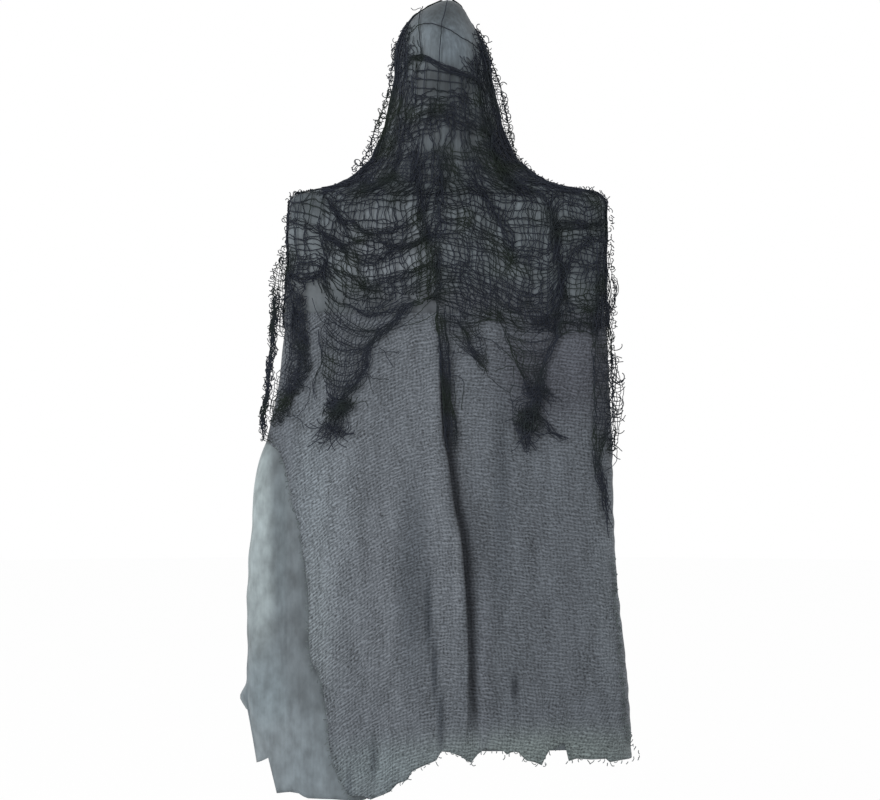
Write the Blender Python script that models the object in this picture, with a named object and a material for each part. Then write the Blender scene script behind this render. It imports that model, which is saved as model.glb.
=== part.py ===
"""A hanging ghost decoration. A light hooded liner hangs over a foam head and two foam shoulders,
an open-weave gauze skirt is sewn round it below the yoke, and a ragged net cape lies over both.
A wire eye, a dowel and a slat carry it all. Metres, +Z up, front towards -Y, and the origin where
a hook bears, at the top of the inside of the eye."""
import math

import bmesh
import bpy
import numpy as np
from mathutils import Vector
from mathutils.bvhtree import BVHTree

# Driving dimensions in metres. A drop is measured down from the crown of the hood.
LINER_WALL = 0.0012
GAUZE_WALL = 0.0012
NET_WALL = 0.0012
FIT = 0.0004  # gap between pieces that touch
LAYER_GAP = 0.0009  # gap between cloth layers that lie on each other

EYE_WIRE = 0.0025
EYE_INSIDE = 0.012  # inside diameter of the eye's loop
EYE_LIFT = 0.0015  # from the crown to the underside of the loop
SHANK_GRIP = 0.022  # how far the shank goes into the dowel
CROWN_HOLE = 0.008  # diameter of the hole that the shank comes through

HEAD_WIDTH = 0.101
HEAD_DEPTH = 0.112
HEAD_CROWN = 0.085  # from the widest level up to the top of the foam
HEAD_BASE = 0.070  # from the widest level down to the bottom of the foam
HEAD_FLAT = 0.036  # diameter of the flat under the foam
CROWN_NARROW = 0.2  # share by which the crown is slimmer than an ellipse at its top
CROWN_LEAN = 0.0085  # how far the hood hangs left of the rod where it leans most

NECK_DROP = 0.168
NECK_WIDTH = 0.150
NECK_DEPTH = 0.124
SHOULDER_DROP = 0.231
SHOULDER_WIDTH = 0.354
SHOULDER_DEPTH = 0.076

SEAM_DROP = 0.352  # seam between the yoke and the gauze skirt
SLIT_DROP = 0.493  # where the gauze starts to part on the left
ROBE_LENGTH = 0.899
HEM_LEFT = 0.223  # furthest that the liner flares to the left
HEM_RIGHT = 0.204
HEM_DEPTH = 0.128
GAUZE_EASE = 0.0025  # how far the gauze hangs off the liner below its seam
EASE_DROP = 0.03  # how far below the seam it has come away
NET_EASE = 0.002  # how far the net hangs off the gauze
FOLD_HEIGHT = 0.007  # of the long fold in the gauze
FOLD_BESIDE = 0.012  # from the fold's line to the middle of its ridge
FOLD_WIDTH = 0.011
FOLD_CLEAR = 0.025  # how far beside the line the gauze stays flat
FOLD_DROP = 0.06  # how far below the seam the fold has its full height
WAVE_HEIGHT = 0.005  # of the soft folds beside it, at the hem
WAVE_DROP = 0.15
WAVES_FRONT = 6
WAVES_BACK = 3

NET_DROP = 0.371  # lower edge of the net between its tails
SWAG_HEIGHT = 0.003  # of the folds that hang across the net
SWAG_PITCH = 0.034
SWAG_SAG = 0.030
SWAG_FADE = 0.030  # how far down they come up, and fade again
NET_LIFT_START = 0.045  # above the seam, where the net starts to lift over the gauze
NET_LIFT_END = 0.012

ROD_DIAMETER = 0.012
ROD_TOP = 0.028  # from the top of the foam down to the dowel's top
BAR_COVER = 0.0208  # foam left past the slat's end
BAR_DEPTH = 0.030
BAR_HEIGHT = 0.009
BLOCK_LENGTH = 0.060
BLOCK_DEPTH = 0.046
BLOCK_HEIGHT = 0.052
BLOCK_ROUND = 0.011
BLOCK_INSET = 0.005  # from the inside of the liner to the block's end

# Counts of columns round the cloth and of flat sides on the turned pieces
FRONT_COLUMNS = 28
BACK_COLUMNS = 12
SLIT_COLUMN = 4
FOLD_COLUMN = 14
ROUND_SIDES = 24
CORNER_CROWDING = 0.09  # how far the back's columns crowd towards its two corners

CROWN_Z = -(EYE_INSIDE + 2 * EYE_WIRE + EYE_LIFT)
LINER_GAP = FIT + LINER_WALL  # from the foam to the outside of the liner
GAUZE_OUT = FIT + GAUZE_WALL
NET_OUT = LAYER_GAP + NET_WALL
NET_OVER_GAUZE = GAUZE_OUT + NET_OUT + NET_EASE

for old in list(bpy.data.objects):
    bpy.data.objects.remove(old, do_unlink=True)


def smooth(points, at):
    """Value at a place on a curve through (place, value) points that never overshoots them."""
    places, values = np.array(points, dtype=float).T
    steps = np.diff(places)
    slopes = np.diff(values) / steps
    same_way = slopes[:-1] * slopes[1:] > 0
    total = np.where(same_way, slopes[:-1] + slopes[1:], 1.0)
    inner = np.where(same_way, 2 * slopes[:-1] * slopes[1:] / total, 0.0)
    tangents = np.concatenate(([slopes[0]], inner, [slopes[-1]]))
    at = min(max(at, places[0]), places[-1])
    i = min(int(np.searchsorted(places, at, side="right")) - 1, len(steps) - 1)
    share = (at - places[i]) / steps[i]
    start, end = values[i], values[i + 1]
    rise_in, rise_out = tangents[i] * steps[i], tangents[i + 1] * steps[i]
    return (
        (1 + 2 * share) * (1 - share) ** 2 * start
        + share * (1 - share) ** 2 * rise_in
        + share**2 * (3 - 2 * share) * end
        + share**2 * (share - 1) * rise_out
    )


def between(low, high, at):
    """Soft step from 0 at low to 1 at high."""
    share = min(max((at - low) / (high - low), 0.0), 1.0)
    return share * share * (3 - 2 * share)


# The hood follows the foam down to this turn of its profile, and then hangs to the shoulders.
HOOD_TURN = math.radians(75)
DOME_HEIGHT = HEAD_CROWN + LINER_GAP
DOME_END = DOME_HEIGHT * (1 - math.cos(HOOD_TURN))


def dome_half(widest, drop):
    """Half a section's size on the crown, which is slimmer than an ellipse towards its top."""
    slimmer = CROWN_NARROW * (1 - drop / DOME_END) ** 2
    return widest * math.sqrt(max(1 - (1 - drop / DOME_HEIGHT) ** 2, 0.0)) * (1 - slimmer)


# Curves of the cloth as (share of the way out, share of the way down) from the neck to the
# shoulder's corner, and as (share of the way down, share of the way out) from the seam to the hem
SHOULDER_CURVE = (
    (0.05, 0.19),
    (0.17, 0.37),
    (0.31, 0.55),
    (0.50, 0.69),
    (0.735, 0.755),
    (0.91, 0.81),
    (1.0, 1.0),
)


# How the hood leans: (share of the drop from the crown to the shoulders, share of the lean)
LEAN_CURVE = ((0, 0), (0.10, 1), (0.19, 0.92), (0.36, 0.55), (0.55, 0.5), (0.75, 0.5), (0.93, 0))


def lean(drop):
    """How far the middle of the hood lies left of the rod at a drop."""
    return CROWN_LEAN * smooth(LEAN_CURVE, drop / SHOULDER_DROP)


def profile(neck, corner, hem, robe_curve):
    """Points (drop, half size) of the cloth from the hood's widest level down to the hem."""
    points = [(NECK_DROP, neck)]
    for out, down in SHOULDER_CURVE:
        drop = NECK_DROP + down * (SHOULDER_DROP - NECK_DROP)
        points.append((drop, neck + out * (corner - neck)))
    points.append((SEAM_DROP, corner))
    for down, out in robe_curve:
        drop = SEAM_DROP + down * (ROBE_LENGTH - SEAM_DROP)
        points.append((drop, corner + out * (hem - corner)))
    return points


LEFT_FLARE = (
    (0.14, 0.18),
    (0.257, 0.47),
    (0.383, 0.80),
    (0.525, 0.98),
    (0.754, 1.0),
    (0.9, 0.87),
    (1, 0.75),
)
RIGHT_FLARE = ((0.383, 0.23), (0.59, 0.54), (0.79, 0.85), (0.90, 0.96), (1, 1))
LEFT = profile(NECK_WIDTH / 2, SHOULDER_WIDTH / 2, HEM_LEFT, LEFT_FLARE)
RIGHT = profile(NECK_WIDTH / 2, SHOULDER_WIDTH / 2, HEM_RIGHT, RIGHT_FLARE)
DEPTH_FLARE = ((0.257, 0.3), (0.5, 0.6), (0.76, 0.84), (1, 1))
DEPTH = profile(NECK_DEPTH / 2, SHOULDER_DEPTH / 2, HEM_DEPTH / 2, DEPTH_FLARE)
# How square a level section is: 2 is an ellipse, 5 nearly a rectangle
SQUARE = profile(2.2, 5.0, 2.7, ((0.25, 0.35), (0.5, 0.7), (1, 1)))


def half_size(curve, drop, head_size):
    """Half a section's width or depth: the foam's own profile on the crown, the curve below."""
    widest = head_size / 2 + LINER_GAP
    if drop <= DOME_END:
        return dome_half(widest, drop)
    return smooth([(DOME_END, dome_half(widest, DOME_END))] + curve, drop)


def section(drop):
    """Half of a level section of the liner as x, depth and length so far, from left to right."""
    square = smooth([(DOME_END, 2.0)] + SQUARE, drop)
    turn = np.linspace(0, math.pi, 73)
    cosine = np.cos(turn)
    left = half_size(LEFT, drop, HEAD_WIDTH)
    right = half_size(RIGHT, drop, HEAD_WIDTH)
    x = np.where(cosine > 0, -left, right) * np.abs(cosine) ** (2 / square) - lean(drop)
    depth = half_size(DEPTH, drop, HEAD_DEPTH) * np.clip(np.sin(turn), 0, 1) ** (2 / square)
    length = np.concatenate(([0], np.cumsum(np.hypot(np.diff(x), np.diff(depth)))))
    return x, depth, length


def on_liner(drop, place):
    """Point on the liner. Its place runs 0 to 1 across the front from left to right, and on to
    2 across the back from right to left."""
    x, depth, length = section(drop)
    place = place % 2
    front = place <= 1
    at = (place if front else 2 - place) * length[-1]
    y = np.interp(at, length, depth)
    return Vector((float(np.interp(at, length, x)), float(-y if front else y), CROWN_Z - drop))


def outward(drop, place):
    """Direction straight out of the liner at a place."""
    step = 0.002
    across = on_liner(drop, place + step) - on_liner(drop, place - step)
    high = max(drop - step, 0.0002)
    down = on_liner(drop + step, place) - on_liner(high, place)
    return down.cross(across).normalized()


def place_of(drop, share):
    """Place on the front of a point given as a share of the half width, -1 left to 1 right."""
    x, depth, length = section(drop)
    at = share * (-x[0] if share < 0 else x[-1])
    return float(np.interp(at, x, length) / length[-1])


# The gauze's front edge and its long fold: (share of the drop, share of the half width)
FRONT_EDGE = (
    (0.0, -0.985),
    (0.062, -0.895),
    (0.182, -0.81),
    (0.298, -0.744),
    (0.453, -0.697),
    (0.626, -0.677),
    (0.729, -0.617),
    (0.855, -0.608),
    (1.0, -0.51),
)
FOLD_LINE = (
    (0.0, 0.0),
    (0.035, -0.011),
    (0.22, -0.028),
    (0.292, 0.025),
    (0.392, 0.06),
    (0.464, 0.102),
    (0.522, 0.117),
    (0.63, 0.147),
    (0.794, 0.143),
    (1.0, 0.137),
)


def front_edge_place(drop):
    even = SLIT_COLUMN / FRONT_COLUMNS
    down = (drop - SLIT_DROP) / (ROBE_LENGTH - SLIT_DROP)
    start = place_of(SLIT_DROP, FRONT_EDGE[0][1])
    if down < 0:
        return even + (start - even) * between(SEAM_DROP, SLIT_DROP, drop)
    return place_of(drop, smooth(FRONT_EDGE, down))


def fold_place(drop):
    down = (drop - SEAM_DROP) / (ROBE_LENGTH - SEAM_DROP)
    return place_of(drop, smooth(FOLD_LINE, max(down, 0.0)))


def column_place(drop, column):
    """Place of a column of the cloth. Columns follow the gauze's front edge and its long fold."""
    if column > FRONT_COLUMNS:
        across = (column - FRONT_COLUMNS) / BACK_COLUMNS
        return 1 + across - CORNER_CROWDING * math.sin(math.tau * across)
    marks = (0, SLIT_COLUMN, FOLD_COLUMN, FRONT_COLUMNS)
    places = (0, front_edge_place(drop), fold_place(drop), 1)
    return float(np.interp(column, marks, places))


def gauze_fold(drop, place):
    """How far the gauze stands off the liner in its folds."""
    _, _, length = section(drop)
    hang = between(SEAM_DROP, SEAM_DROP + WAVE_DROP, drop)
    ease = GAUZE_EASE * between(SEAM_DROP, SEAM_DROP + EASE_DROP, drop)
    beside = (place - fold_place(drop)) * length[-1]
    waves = WAVES_FRONT if place <= 1 else WAVES_BACK
    wave = ease + WAVE_HEIGHT * hang * math.sin(math.pi * waves * place) ** 2
    if place > 1:
        return wave
    clear = 1 - math.exp(-((beside / FOLD_CLEAR) ** 2))
    ridge = math.exp(-(((beside + FOLD_BESIDE) / FOLD_WIDTH) ** 2)) if beside < FIT else 0.0
    raised = FOLD_HEIGHT * between(SEAM_DROP, SEAM_DROP + FOLD_DROP, drop)
    return ease + (wave - ease) * clear + raised * ridge


def net_out(drop, place):
    """How far the outside of the net lies off the liner: on it at the hood, over the gauze below,
    with folds that hang across from the shoulders."""
    over = between(SEAM_DROP - NET_LIFT_START, SEAM_DROP - NET_LIFT_END, drop)
    rest = NET_OUT + over * (NET_OVER_GAUZE - NET_OUT)
    sag = SWAG_SAG * math.sin(2 * math.pi * place) ** 2
    swag = 0.5 + 0.5 * math.cos(2 * math.pi * (drop - sag) / SWAG_PITCH)
    hung = between(SHOULDER_DROP, SHOULDER_DROP + SWAG_FADE, drop)
    hung *= 1 - between(NET_DROP, NET_DROP + SWAG_FADE, drop)
    fold = gauze_fold(drop, place) if drop > SEAM_DROP else 0.0
    return rest + SWAG_HEIGHT * hung * swag + fold


# Hems as (share of the half width, rise above the lowest point)
GAUZE_HEM = (
    (-0.51, 0.006),
    (-0.46, 0.0),
    (-0.34, 0.010),
    (-0.20, 0.0215),
    (-0.17, 0.034),
    (-0.06, 0.045),
    (-0.02, 0.055),
    (0.13, 0.042),
    (0.20, 0.056),
    (0.39, 0.054),
    (0.46, 0.042),
    (0.53, 0.039),
    (0.60, 0.064),
    (0.66, 0.063),
    (0.69, 0.045),
    (1.0, 0.048),
)
LINER_HEM = (
    (-1.0, 0.048),
    (-0.93, 0.046),
    (-0.90, 0.012),
    (-0.70, 0.008),
    (-0.48, 0.002),
    (-0.40, 0.012),
)
HEM_UNDER = 0.012  # how much shorter the liner is than the gauze over it
BACK_HEM = 0.050
BACK_RIPPLE = 0.004


def gauze_hem(place):
    if place > 1:
        return ROBE_LENGTH - BACK_HEM - BACK_RIPPLE * math.sin(9 * math.pi * place) ** 2
    x, _, length = section(ROBE_LENGTH - BACK_HEM)
    at = float(np.interp(place * length[-1], length, x))
    share = at / (-x[0] if at < 0 else x[-1])
    return ROBE_LENGTH - float(np.interp(share, *zip(*GAUZE_HEM)))


def liner_hem(place):
    if place > 1:
        return gauze_hem(place) - HEM_UNDER
    x, _, length = section(ROBE_LENGTH - BACK_HEM)
    at = float(np.interp(place * length[-1], length, x))
    share = at / (-x[0] if at < 0 else x[-1])
    if share > LINER_HEM[-1][0]:
        return gauze_hem(place) - HEM_UNDER
    return ROBE_LENGTH - float(np.interp(share, *zip(*LINER_HEM)))


def dome_drop(degrees):
    return DOME_HEIGHT * (1 - math.cos(math.radians(degrees)))


def spread(start, end, count):
    return [start + (end - start) * i / count for i in range(1, count + 1)]


HOLE_TURN = math.asin(CROWN_HOLE / (1 - CROWN_NARROW) / (HEAD_WIDTH + 2 * LINER_GAP))
DOME_ROWS = [dome_drop(a) for a in (math.degrees(HOLE_TURN), 17, 30, 45, 60)] + [DOME_END]
HOOD_ROWS = list(DOME_ROWS)
HOOD_ROWS += spread(DOME_END, NECK_DROP, 4)
HOOD_ROWS += [NECK_DROP + down * (SHOULDER_DROP - NECK_DROP) for _, down in SHOULDER_CURVE]
ROBE_DROP = ROBE_LENGTH - 2 * BACK_HEM  # last row above the hem
YOKE_MIDDLE = (SHOULDER_DROP + SEAM_DROP) / 2
LINER_ROWS = HOOD_ROWS + [YOKE_MIDDLE, SEAM_DROP] + spread(SEAM_DROP, ROBE_DROP, 4)
GAUZE_ROWS = [SEAM_DROP] + spread(SEAM_DROP, SLIT_DROP, 2) + spread(SLIT_DROP, ROBE_DROP, 5)
NET_ROWS = HOOD_ROWS + spread(SHOULDER_DROP, YOKE_MIDDLE, 4) + spread(YOKE_MIDDLE, SEAM_DROP, 4)
NET_ROWS += [NET_DROP]


def material(name, colour, roughness, metallic=0.0):
    made = bpy.data.materials.new(name)
    made.use_nodes = True
    shader = made.node_tree.nodes["Principled BSDF"]
    shader.inputs["Base Color"].default_value = (*colour, 1)
    shader.inputs["Roughness"].default_value = roughness
    shader.inputs["Metallic"].default_value = metallic
    return made


def add_object(name, bm, surface):
    mesh = bpy.data.meshes.new(name)
    bm.to_mesh(mesh)
    bm.free()
    mesh.materials.append(surface)
    mesh.shade_smooth()
    mesh.set_sharp_from_angle(angle=math.radians(50))
    made = bpy.data.objects.new(name, mesh)
    bpy.context.collection.objects.link(made)
    return made


def cloth(rows, columns, out, hem=None):
    """A sheet of quads round the liner's form. out gives how far it lies off the liner, and hem
    the drop of an extra last row. Returns the bmesh and its vertices by (row, column)."""
    bm = bmesh.new()
    drops = list(rows) + ([None] if hem else [])
    grid = {}
    for column in columns:
        for row, drop in enumerate(drops):
            if drop is None:
                drop = hem(column_place(ROBE_LENGTH - BACK_HEM, column))
            place = column_place(drop, column)
            point = on_liner(drop, place) + outward(drop, place) * out(drop, place)
            grid[row, column] = bm.verts.new(point)
    return bm, grid


def weave(bm, grid, row, column, following, keep):
    """Two triangles between two columns and two rows, split the same way on every layer."""
    if not keep:
        return
    high, low = row, row + 1
    bm.faces.new((grid[high, column], grid[low, column], grid[low, following]))
    bm.faces.new((grid[high, column], grid[low, following], grid[high, following]))


def finish_cloth(name, bm, wall, surface):
    """Drops loose corners and gives the sheet its thickness, inwards from its outer face."""
    loose = [v for v in bm.verts if not v.link_faces]
    bmesh.ops.delete(bm, geom=loose, context="VERTS")
    made = add_object(name, bm, surface)
    thick = made.modifiers.new("thickness", "SOLIDIFY")
    thick.thickness = wall
    thick.offset = -1
    return made


ALL_COLUMNS = FRONT_COLUMNS + BACK_COLUMNS


def make_liner(surface):
    """The hooded robe: closed over the head but for the shank's hole, open at the hem."""
    columns = range(ALL_COLUMNS)
    bm, grid = cloth(LINER_ROWS, columns, lambda drop, place: 0.0, liner_hem)
    for row in range(len(LINER_ROWS)):
        for column in columns:
            weave(bm, grid, row, column, (column + 1) % ALL_COLUMNS, True)
    return finish_cloth("liner", bm, LINER_WALL, surface)


def make_gauze(surface):
    """The skirt: a closed tube at the seam that parts on the left below the slit's top."""
    columns = range(ALL_COLUMNS)
    bm, grid = cloth(
        GAUZE_ROWS, columns, lambda drop, place: GAUZE_OUT + gauze_fold(drop, place), gauze_hem
    )
    last_back = ALL_COLUMNS - 1
    for row in range(len(GAUZE_ROWS)):
        whole = row + 1 < len(GAUZE_ROWS) and GAUZE_ROWS[row + 1] <= SLIT_DROP + FIT
        for column in columns:
            covered = SLIT_COLUMN <= column < last_back
            weave(bm, grid, row, column, (column + 1) % ALL_COLUMNS, whole or covered)
    return finish_cloth("gauze_robe", bm, GAUZE_WALL, surface)


# Tails of the net: first and last column at the net's edge, then
# (drop below the edge, place of the middle, half the width in places) for each step down
OUTER_TAIL = (0, 2, ((0.045, 0.022, 0.016), (0.085, 0.016, 0.012), (0.122, 0.020, 0.006)))
SIDE_TAIL = (2, 4, ((0.030, 0.085, 0.014), (0.070, 0.055, 0.016), (0.104, 0.035, 0.006)))
LEFT_POINT = (
    4,
    13,
    (
        (0.023, 0.235, 0.095),
        (0.049, 0.230, 0.065),
        (0.078, 0.198, 0.028),
        (0.092, 0.198, 0.024),
        (0.140, 0.150, 0.010),
    ),
)
MIDDLE_TAIL = (
    13,
    15,
    ((0.030, 0.492, 0.018), (0.057, 0.495, 0.013), (0.100, 0.510, 0.018), (0.139, 0.510, 0.006)),
)
RIGHT_POINT = (
    16,
    22,
    ((0.023, 0.690, 0.085), (0.055, 0.730, 0.040), (0.083, 0.738, 0.034), (0.143, 0.712, 0.008)),
)
RIGHT_TAIL = (
    25,
    27,
    ((0.050, 0.925, 0.020), (0.100, 0.925, 0.018), (0.150, 0.920, 0.015), (0.235, 0.950, 0.006)),
)
TAILS = (OUTER_TAIL, SIDE_TAIL, LEFT_POINT, MIDDLE_TAIL, RIGHT_POINT, RIGHT_TAIL)


def is_gap(row, column):
    """Open cells of the net, where it hangs slack: on the crown and at both shoulders."""
    if row % 2 == 0 or column % 2 == 0:
        return False
    crown = 1 <= row <= 9
    shoulder = len(HOOD_ROWS) - 4 <= row <= len(HOOD_ROWS) + 2
    beside = column < 7 or FRONT_COLUMNS - 7 < column < FRONT_COLUMNS + 2
    return crown or (shoulder and beside)


def make_net(surface):
    """The ragged cape: one sheet with open cells, and tails that run on from its lower edge."""
    columns = range(ALL_COLUMNS)
    bm, grid = cloth(NET_ROWS, columns, net_out)
    for row in range(len(NET_ROWS) - 1):
        for column in columns:
            open_cell = is_gap(row, column)
            weave(bm, grid, row, column, (column + 1) % ALL_COLUMNS, not open_cell)
    edge = len(NET_ROWS) - 1
    for first, last, steps in TAILS:
        for column in range(first, last + 1):
            across = 2 * (column - first) / (last - first) - 1
            for step, (below, middle, half) in enumerate(steps):
                drop = NET_DROP + below
                place = middle + across * half
                point = on_liner(drop, place) + outward(drop, place) * net_out(drop, place)
                grid[edge + 1 + step, column] = bm.verts.new(point)
        for step in range(len(steps)):
            for column in range(first, last):
                weave(bm, grid, edge + step, column, column + 1, True)
        for step in range(len(steps)):
            for column in range(first, last + 1):
                del grid[edge + 1 + step, column]
    return finish_cloth("net_cape", bm, NET_WALL, surface)


def turned(name, profile_points, surface):
    """A solid turned round the Z axis from (radius, z) points listed from top to bottom."""
    bm = bmesh.new()
    verts = [bm.verts.new((radius, 0, z)) for radius, z in profile_points]
    edges = [bm.edges.new(pair) for pair in zip(verts, verts[1:] + verts[:1])]
    bmesh.ops.spin(
        bm,
        geom=verts + edges,
        cent=(0, 0, 0),
        axis=(0, 0, 1),
        angle=math.tau,
        steps=ROUND_SIDES,
        use_merge=True,
    )
    bmesh.ops.remove_doubles(bm, verts=bm.verts, dist=0.00001)
    bmesh.ops.recalc_face_normals(bm, faces=bm.faces)
    return add_object(name, bm, surface)


def cut_with(made, cutter):
    cutter.hide_render = True
    cutter.display_type = "WIRE"
    cut = made.modifiers.new("cut", "BOOLEAN")
    cut.operation = "DIFFERENCE"
    cut.object = cutter


HEAD_TOP_Z = CROWN_Z - LINER_GAP
ROD_TOP_Z = HEAD_TOP_Z - ROD_TOP
SHANK_RADIUS = EYE_WIRE / 2


def make_head(surface):
    """The foam egg. Its crown has the liner's own columns and rows, so that the hood lies on it."""
    bm = bmesh.new()
    places = [column_place(DOME_END, column) for column in range(ALL_COLUMNS)]
    rings = []
    for drop in DOME_ROWS:
        ring = [on_liner(drop, place) - outward(drop, place) * LINER_GAP for place in places]
        rings.append([bm.verts.new(point) for point in ring])
    flat = math.pi - math.asin(HEAD_FLAT / HEAD_WIDTH)
    for turn in [math.radians(a) for a in (90, 108, 126, 143)] + [flat]:
        z = HEAD_TOP_Z - HEAD_CROWN + HEAD_BASE * math.cos(turn)
        wide = math.sin(turn) * HEAD_WIDTH / 2 / dome_half(HEAD_WIDTH / 2 + LINER_GAP, DOME_END)
        deep = math.sin(turn) * HEAD_DEPTH / 2 / dome_half(HEAD_DEPTH / 2 + LINER_GAP, DOME_END)
        ring = []
        for place in places:
            point = on_liner(DOME_END, place)
            x = (point.x + lean(DOME_END)) * wide - lean(CROWN_Z - z)
            ring.append(bm.verts.new((x, point.y * deep, z)))
        rings.append(ring)
    for high, low in zip(rings, rings[1:]):
        for column in range(ALL_COLUMNS):
            following = (column + 1) % ALL_COLUMNS
            bm.faces.new((high[column], low[column], low[following]))
            bm.faces.new((high[column], low[following], high[following]))
    bm.faces.new(rings[0])
    bm.faces.new(reversed(rings[-1]))
    bmesh.ops.recalc_face_normals(bm, faces=bm.faces)
    head = add_object("head_form", bm, surface)
    bore = ROD_DIAMETER / 2 + FIT
    hole = SHANK_RADIUS + FIT
    above = HEAD_TOP_Z + 0.01
    below = HEAD_TOP_Z - HEAD_CROWN - HEAD_BASE - 0.01
    shelf = ROD_TOP_Z + FIT
    outline = [(0, above), (hole, above), (hole, shelf), (bore, shelf), (bore, below), (0, below)]
    cut_with(head, turned("head_bore", outline, surface))


def make_eye(surface):
    """Wire loop with its shank: the hook bears on the inside of the loop's top, at the origin."""
    radius = EYE_INSIDE / 2 + SHANK_RADIUS
    middle = -EYE_INSIDE / 2
    points = [(0, ROD_TOP_Z - SHANK_GRIP), (0, middle - radius - 1.6 * EYE_WIRE)]
    for degrees in range(-65, 261, 25):
        angle = math.radians(degrees)
        points.append((radius * math.cos(angle), middle + radius * math.sin(angle)))
    curve = bpy.data.curves.new("hanging_eye", "CURVE")
    curve.dimensions = "3D"
    curve.bevel_depth = SHANK_RADIUS
    curve.bevel_resolution = 2
    curve.use_fill_caps = True
    line = curve.splines.new("POLY")
    line.points.add(len(points) - 1)
    for point, (x, z) in zip(line.points, points):
        point.co = (x, 0, z, 1)
    curve.materials.append(surface)
    made = bpy.data.objects.new("hanging_eye", curve)
    bpy.context.collection.objects.link(made)
    return made


def box(name, size, centre, surface):
    bm = bmesh.new()
    bmesh.ops.create_cube(bm, size=1)
    bmesh.ops.scale(bm, vec=size, verts=bm.verts)
    bmesh.ops.translate(bm, vec=centre, verts=bm.verts)
    return add_object(name, bm, surface)


BLOCK_REACH = SHOULDER_WIDTH / 2 - LINER_WALL - BLOCK_INSET  # from the middle to a block's end
BAR_LENGTH = 2 * (BLOCK_REACH - BAR_COVER)


def make_block(name, side, surface):
    """A foam block with rounded edges, its top at height 0 until it is seated."""
    middle = Vector((side * (BLOCK_REACH - BLOCK_LENGTH / 2), 0, 0))
    bm = bmesh.new()
    bmesh.ops.create_cube(bm, size=1)
    bmesh.ops.scale(bm, vec=(BLOCK_LENGTH, BLOCK_DEPTH, BLOCK_HEIGHT), verts=bm.verts)
    bmesh.ops.translate(bm, vec=middle - Vector((0, 0, BLOCK_HEIGHT / 2)), verts=bm.verts)
    bmesh.ops.bevel(
        bm, geom=bm.edges, offset=BLOCK_ROUND, segments=3, profile=0.5, affect="EDGES", material=-1
    )
    return add_object(name, bm, surface)


def seat_under(made, above, gap):
    """How far a piece may rise until it lies a gap below the sheet above it. It is tried at the
    piece's corners and along its edges, and at the sheet's corners."""
    bpy.context.view_layer.update()
    sheet = above.evaluated_get(bpy.context.evaluated_depsgraph_get()).to_mesh()
    over = BVHTree.FromPolygons([v.co for v in sheet.vertices], [f.vertices for f in sheet.polygons])
    mesh = made.data
    under = BVHTree.FromPolygons([v.co for v in mesh.vertices], [f.vertices for f in mesh.polygons])
    up, rises = Vector((0, 0, 1)), []
    for edge in mesh.edges:
        start, end = (mesh.vertices[i].co for i in edge.vertices)
        for share in np.linspace(0, 1, 5):
            point = start.lerp(end, float(share))
            hit, _, _, _ = over.ray_cast(point - up * SHOULDER_DROP * 2, up)
            if hit is not None:
                rises.append(hit.z - point.z)
    for vertex in sheet.vertices:
        hit, _, _, _ = under.ray_cast(Vector((vertex.co.x, vertex.co.y, SHOULDER_DROP)), -up)
        if hit is not None and vertex.co.z > CROWN_Z - SEAM_DROP:
            rises.append(vertex.co.z - hit.z)
    return min(rises) - gap


LINER_GREY = material("liner_grey", (0.27, 0.32, 0.34), 0.85)
GAUZE_GREY = material("gauze_grey", (0.12, 0.14, 0.16), 0.95)
NET_BLACK = material("net_black", (0.016, 0.020, 0.022), 0.9)
FOAM_WHITE = material("foam_white", (0.80, 0.80, 0.78), 0.8)
WOOD = material("pine", (0.62, 0.45, 0.27), 0.65)
STEEL = material("steel_wire", (0.55, 0.55, 0.56), 0.3, 1.0)

liner = make_liner(LINER_GREY)
make_gauze(GAUZE_GREY)
make_net(NET_BLACK)
make_head(FOAM_WHITE)
make_eye(STEEL)

blocks = [
    make_block("shoulder_block_left", -1, FOAM_WHITE),
    make_block("shoulder_block_right", 1, FOAM_WHITE),
]
lift = min(seat_under(block, liner, FIT) for block in blocks)
for block in blocks:
    block.location.z = lift
BAR_Z = lift - BLOCK_HEIGHT / 2

bar = box("shoulder_bar", (BAR_LENGTH, BAR_DEPTH, BAR_HEIGHT), (0, 0, BAR_Z), WOOD)
rod = turned(
    "neck_rod",
    [
        (SHANK_RADIUS + FIT, ROD_TOP_Z),
        (ROD_DIAMETER / 2, ROD_TOP_Z),
        (ROD_DIAMETER / 2, BAR_Z - BAR_HEIGHT),
        (0, BAR_Z - BAR_HEIGHT),
        (0, ROD_TOP_Z - SHANK_GRIP - FIT),
        (SHANK_RADIUS + FIT, ROD_TOP_Z - SHANK_GRIP - FIT),
    ],
    WOOD,
)


slot = (BAR_LENGTH + 2 * FIT, BAR_DEPTH + 2 * FIT, BAR_HEIGHT + 2 * FIT)
for block in blocks:
    cut_with(block, box(block.name + "_slot", slot, (0, 0, BAR_Z), FOAM_WHITE))
rod_hole = [
    (0, BAR_Z + BAR_HEIGHT),
    (ROD_DIAMETER / 2 + FIT, BAR_Z + BAR_HEIGHT),
    (ROD_DIAMETER / 2 + FIT, BAR_Z - BAR_HEIGHT),
    (0, BAR_Z - BAR_HEIGHT),
]
cut_with(bar, turned("rod_hole", rod_hole, WOOD))
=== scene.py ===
"""The looks of the hanging ghost decoration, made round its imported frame. Metres, +Z up, front
towards -Y. Routes on the cloth are in millimetres: across from the middle, and down from the
crown of the hood."""
import math

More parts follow.
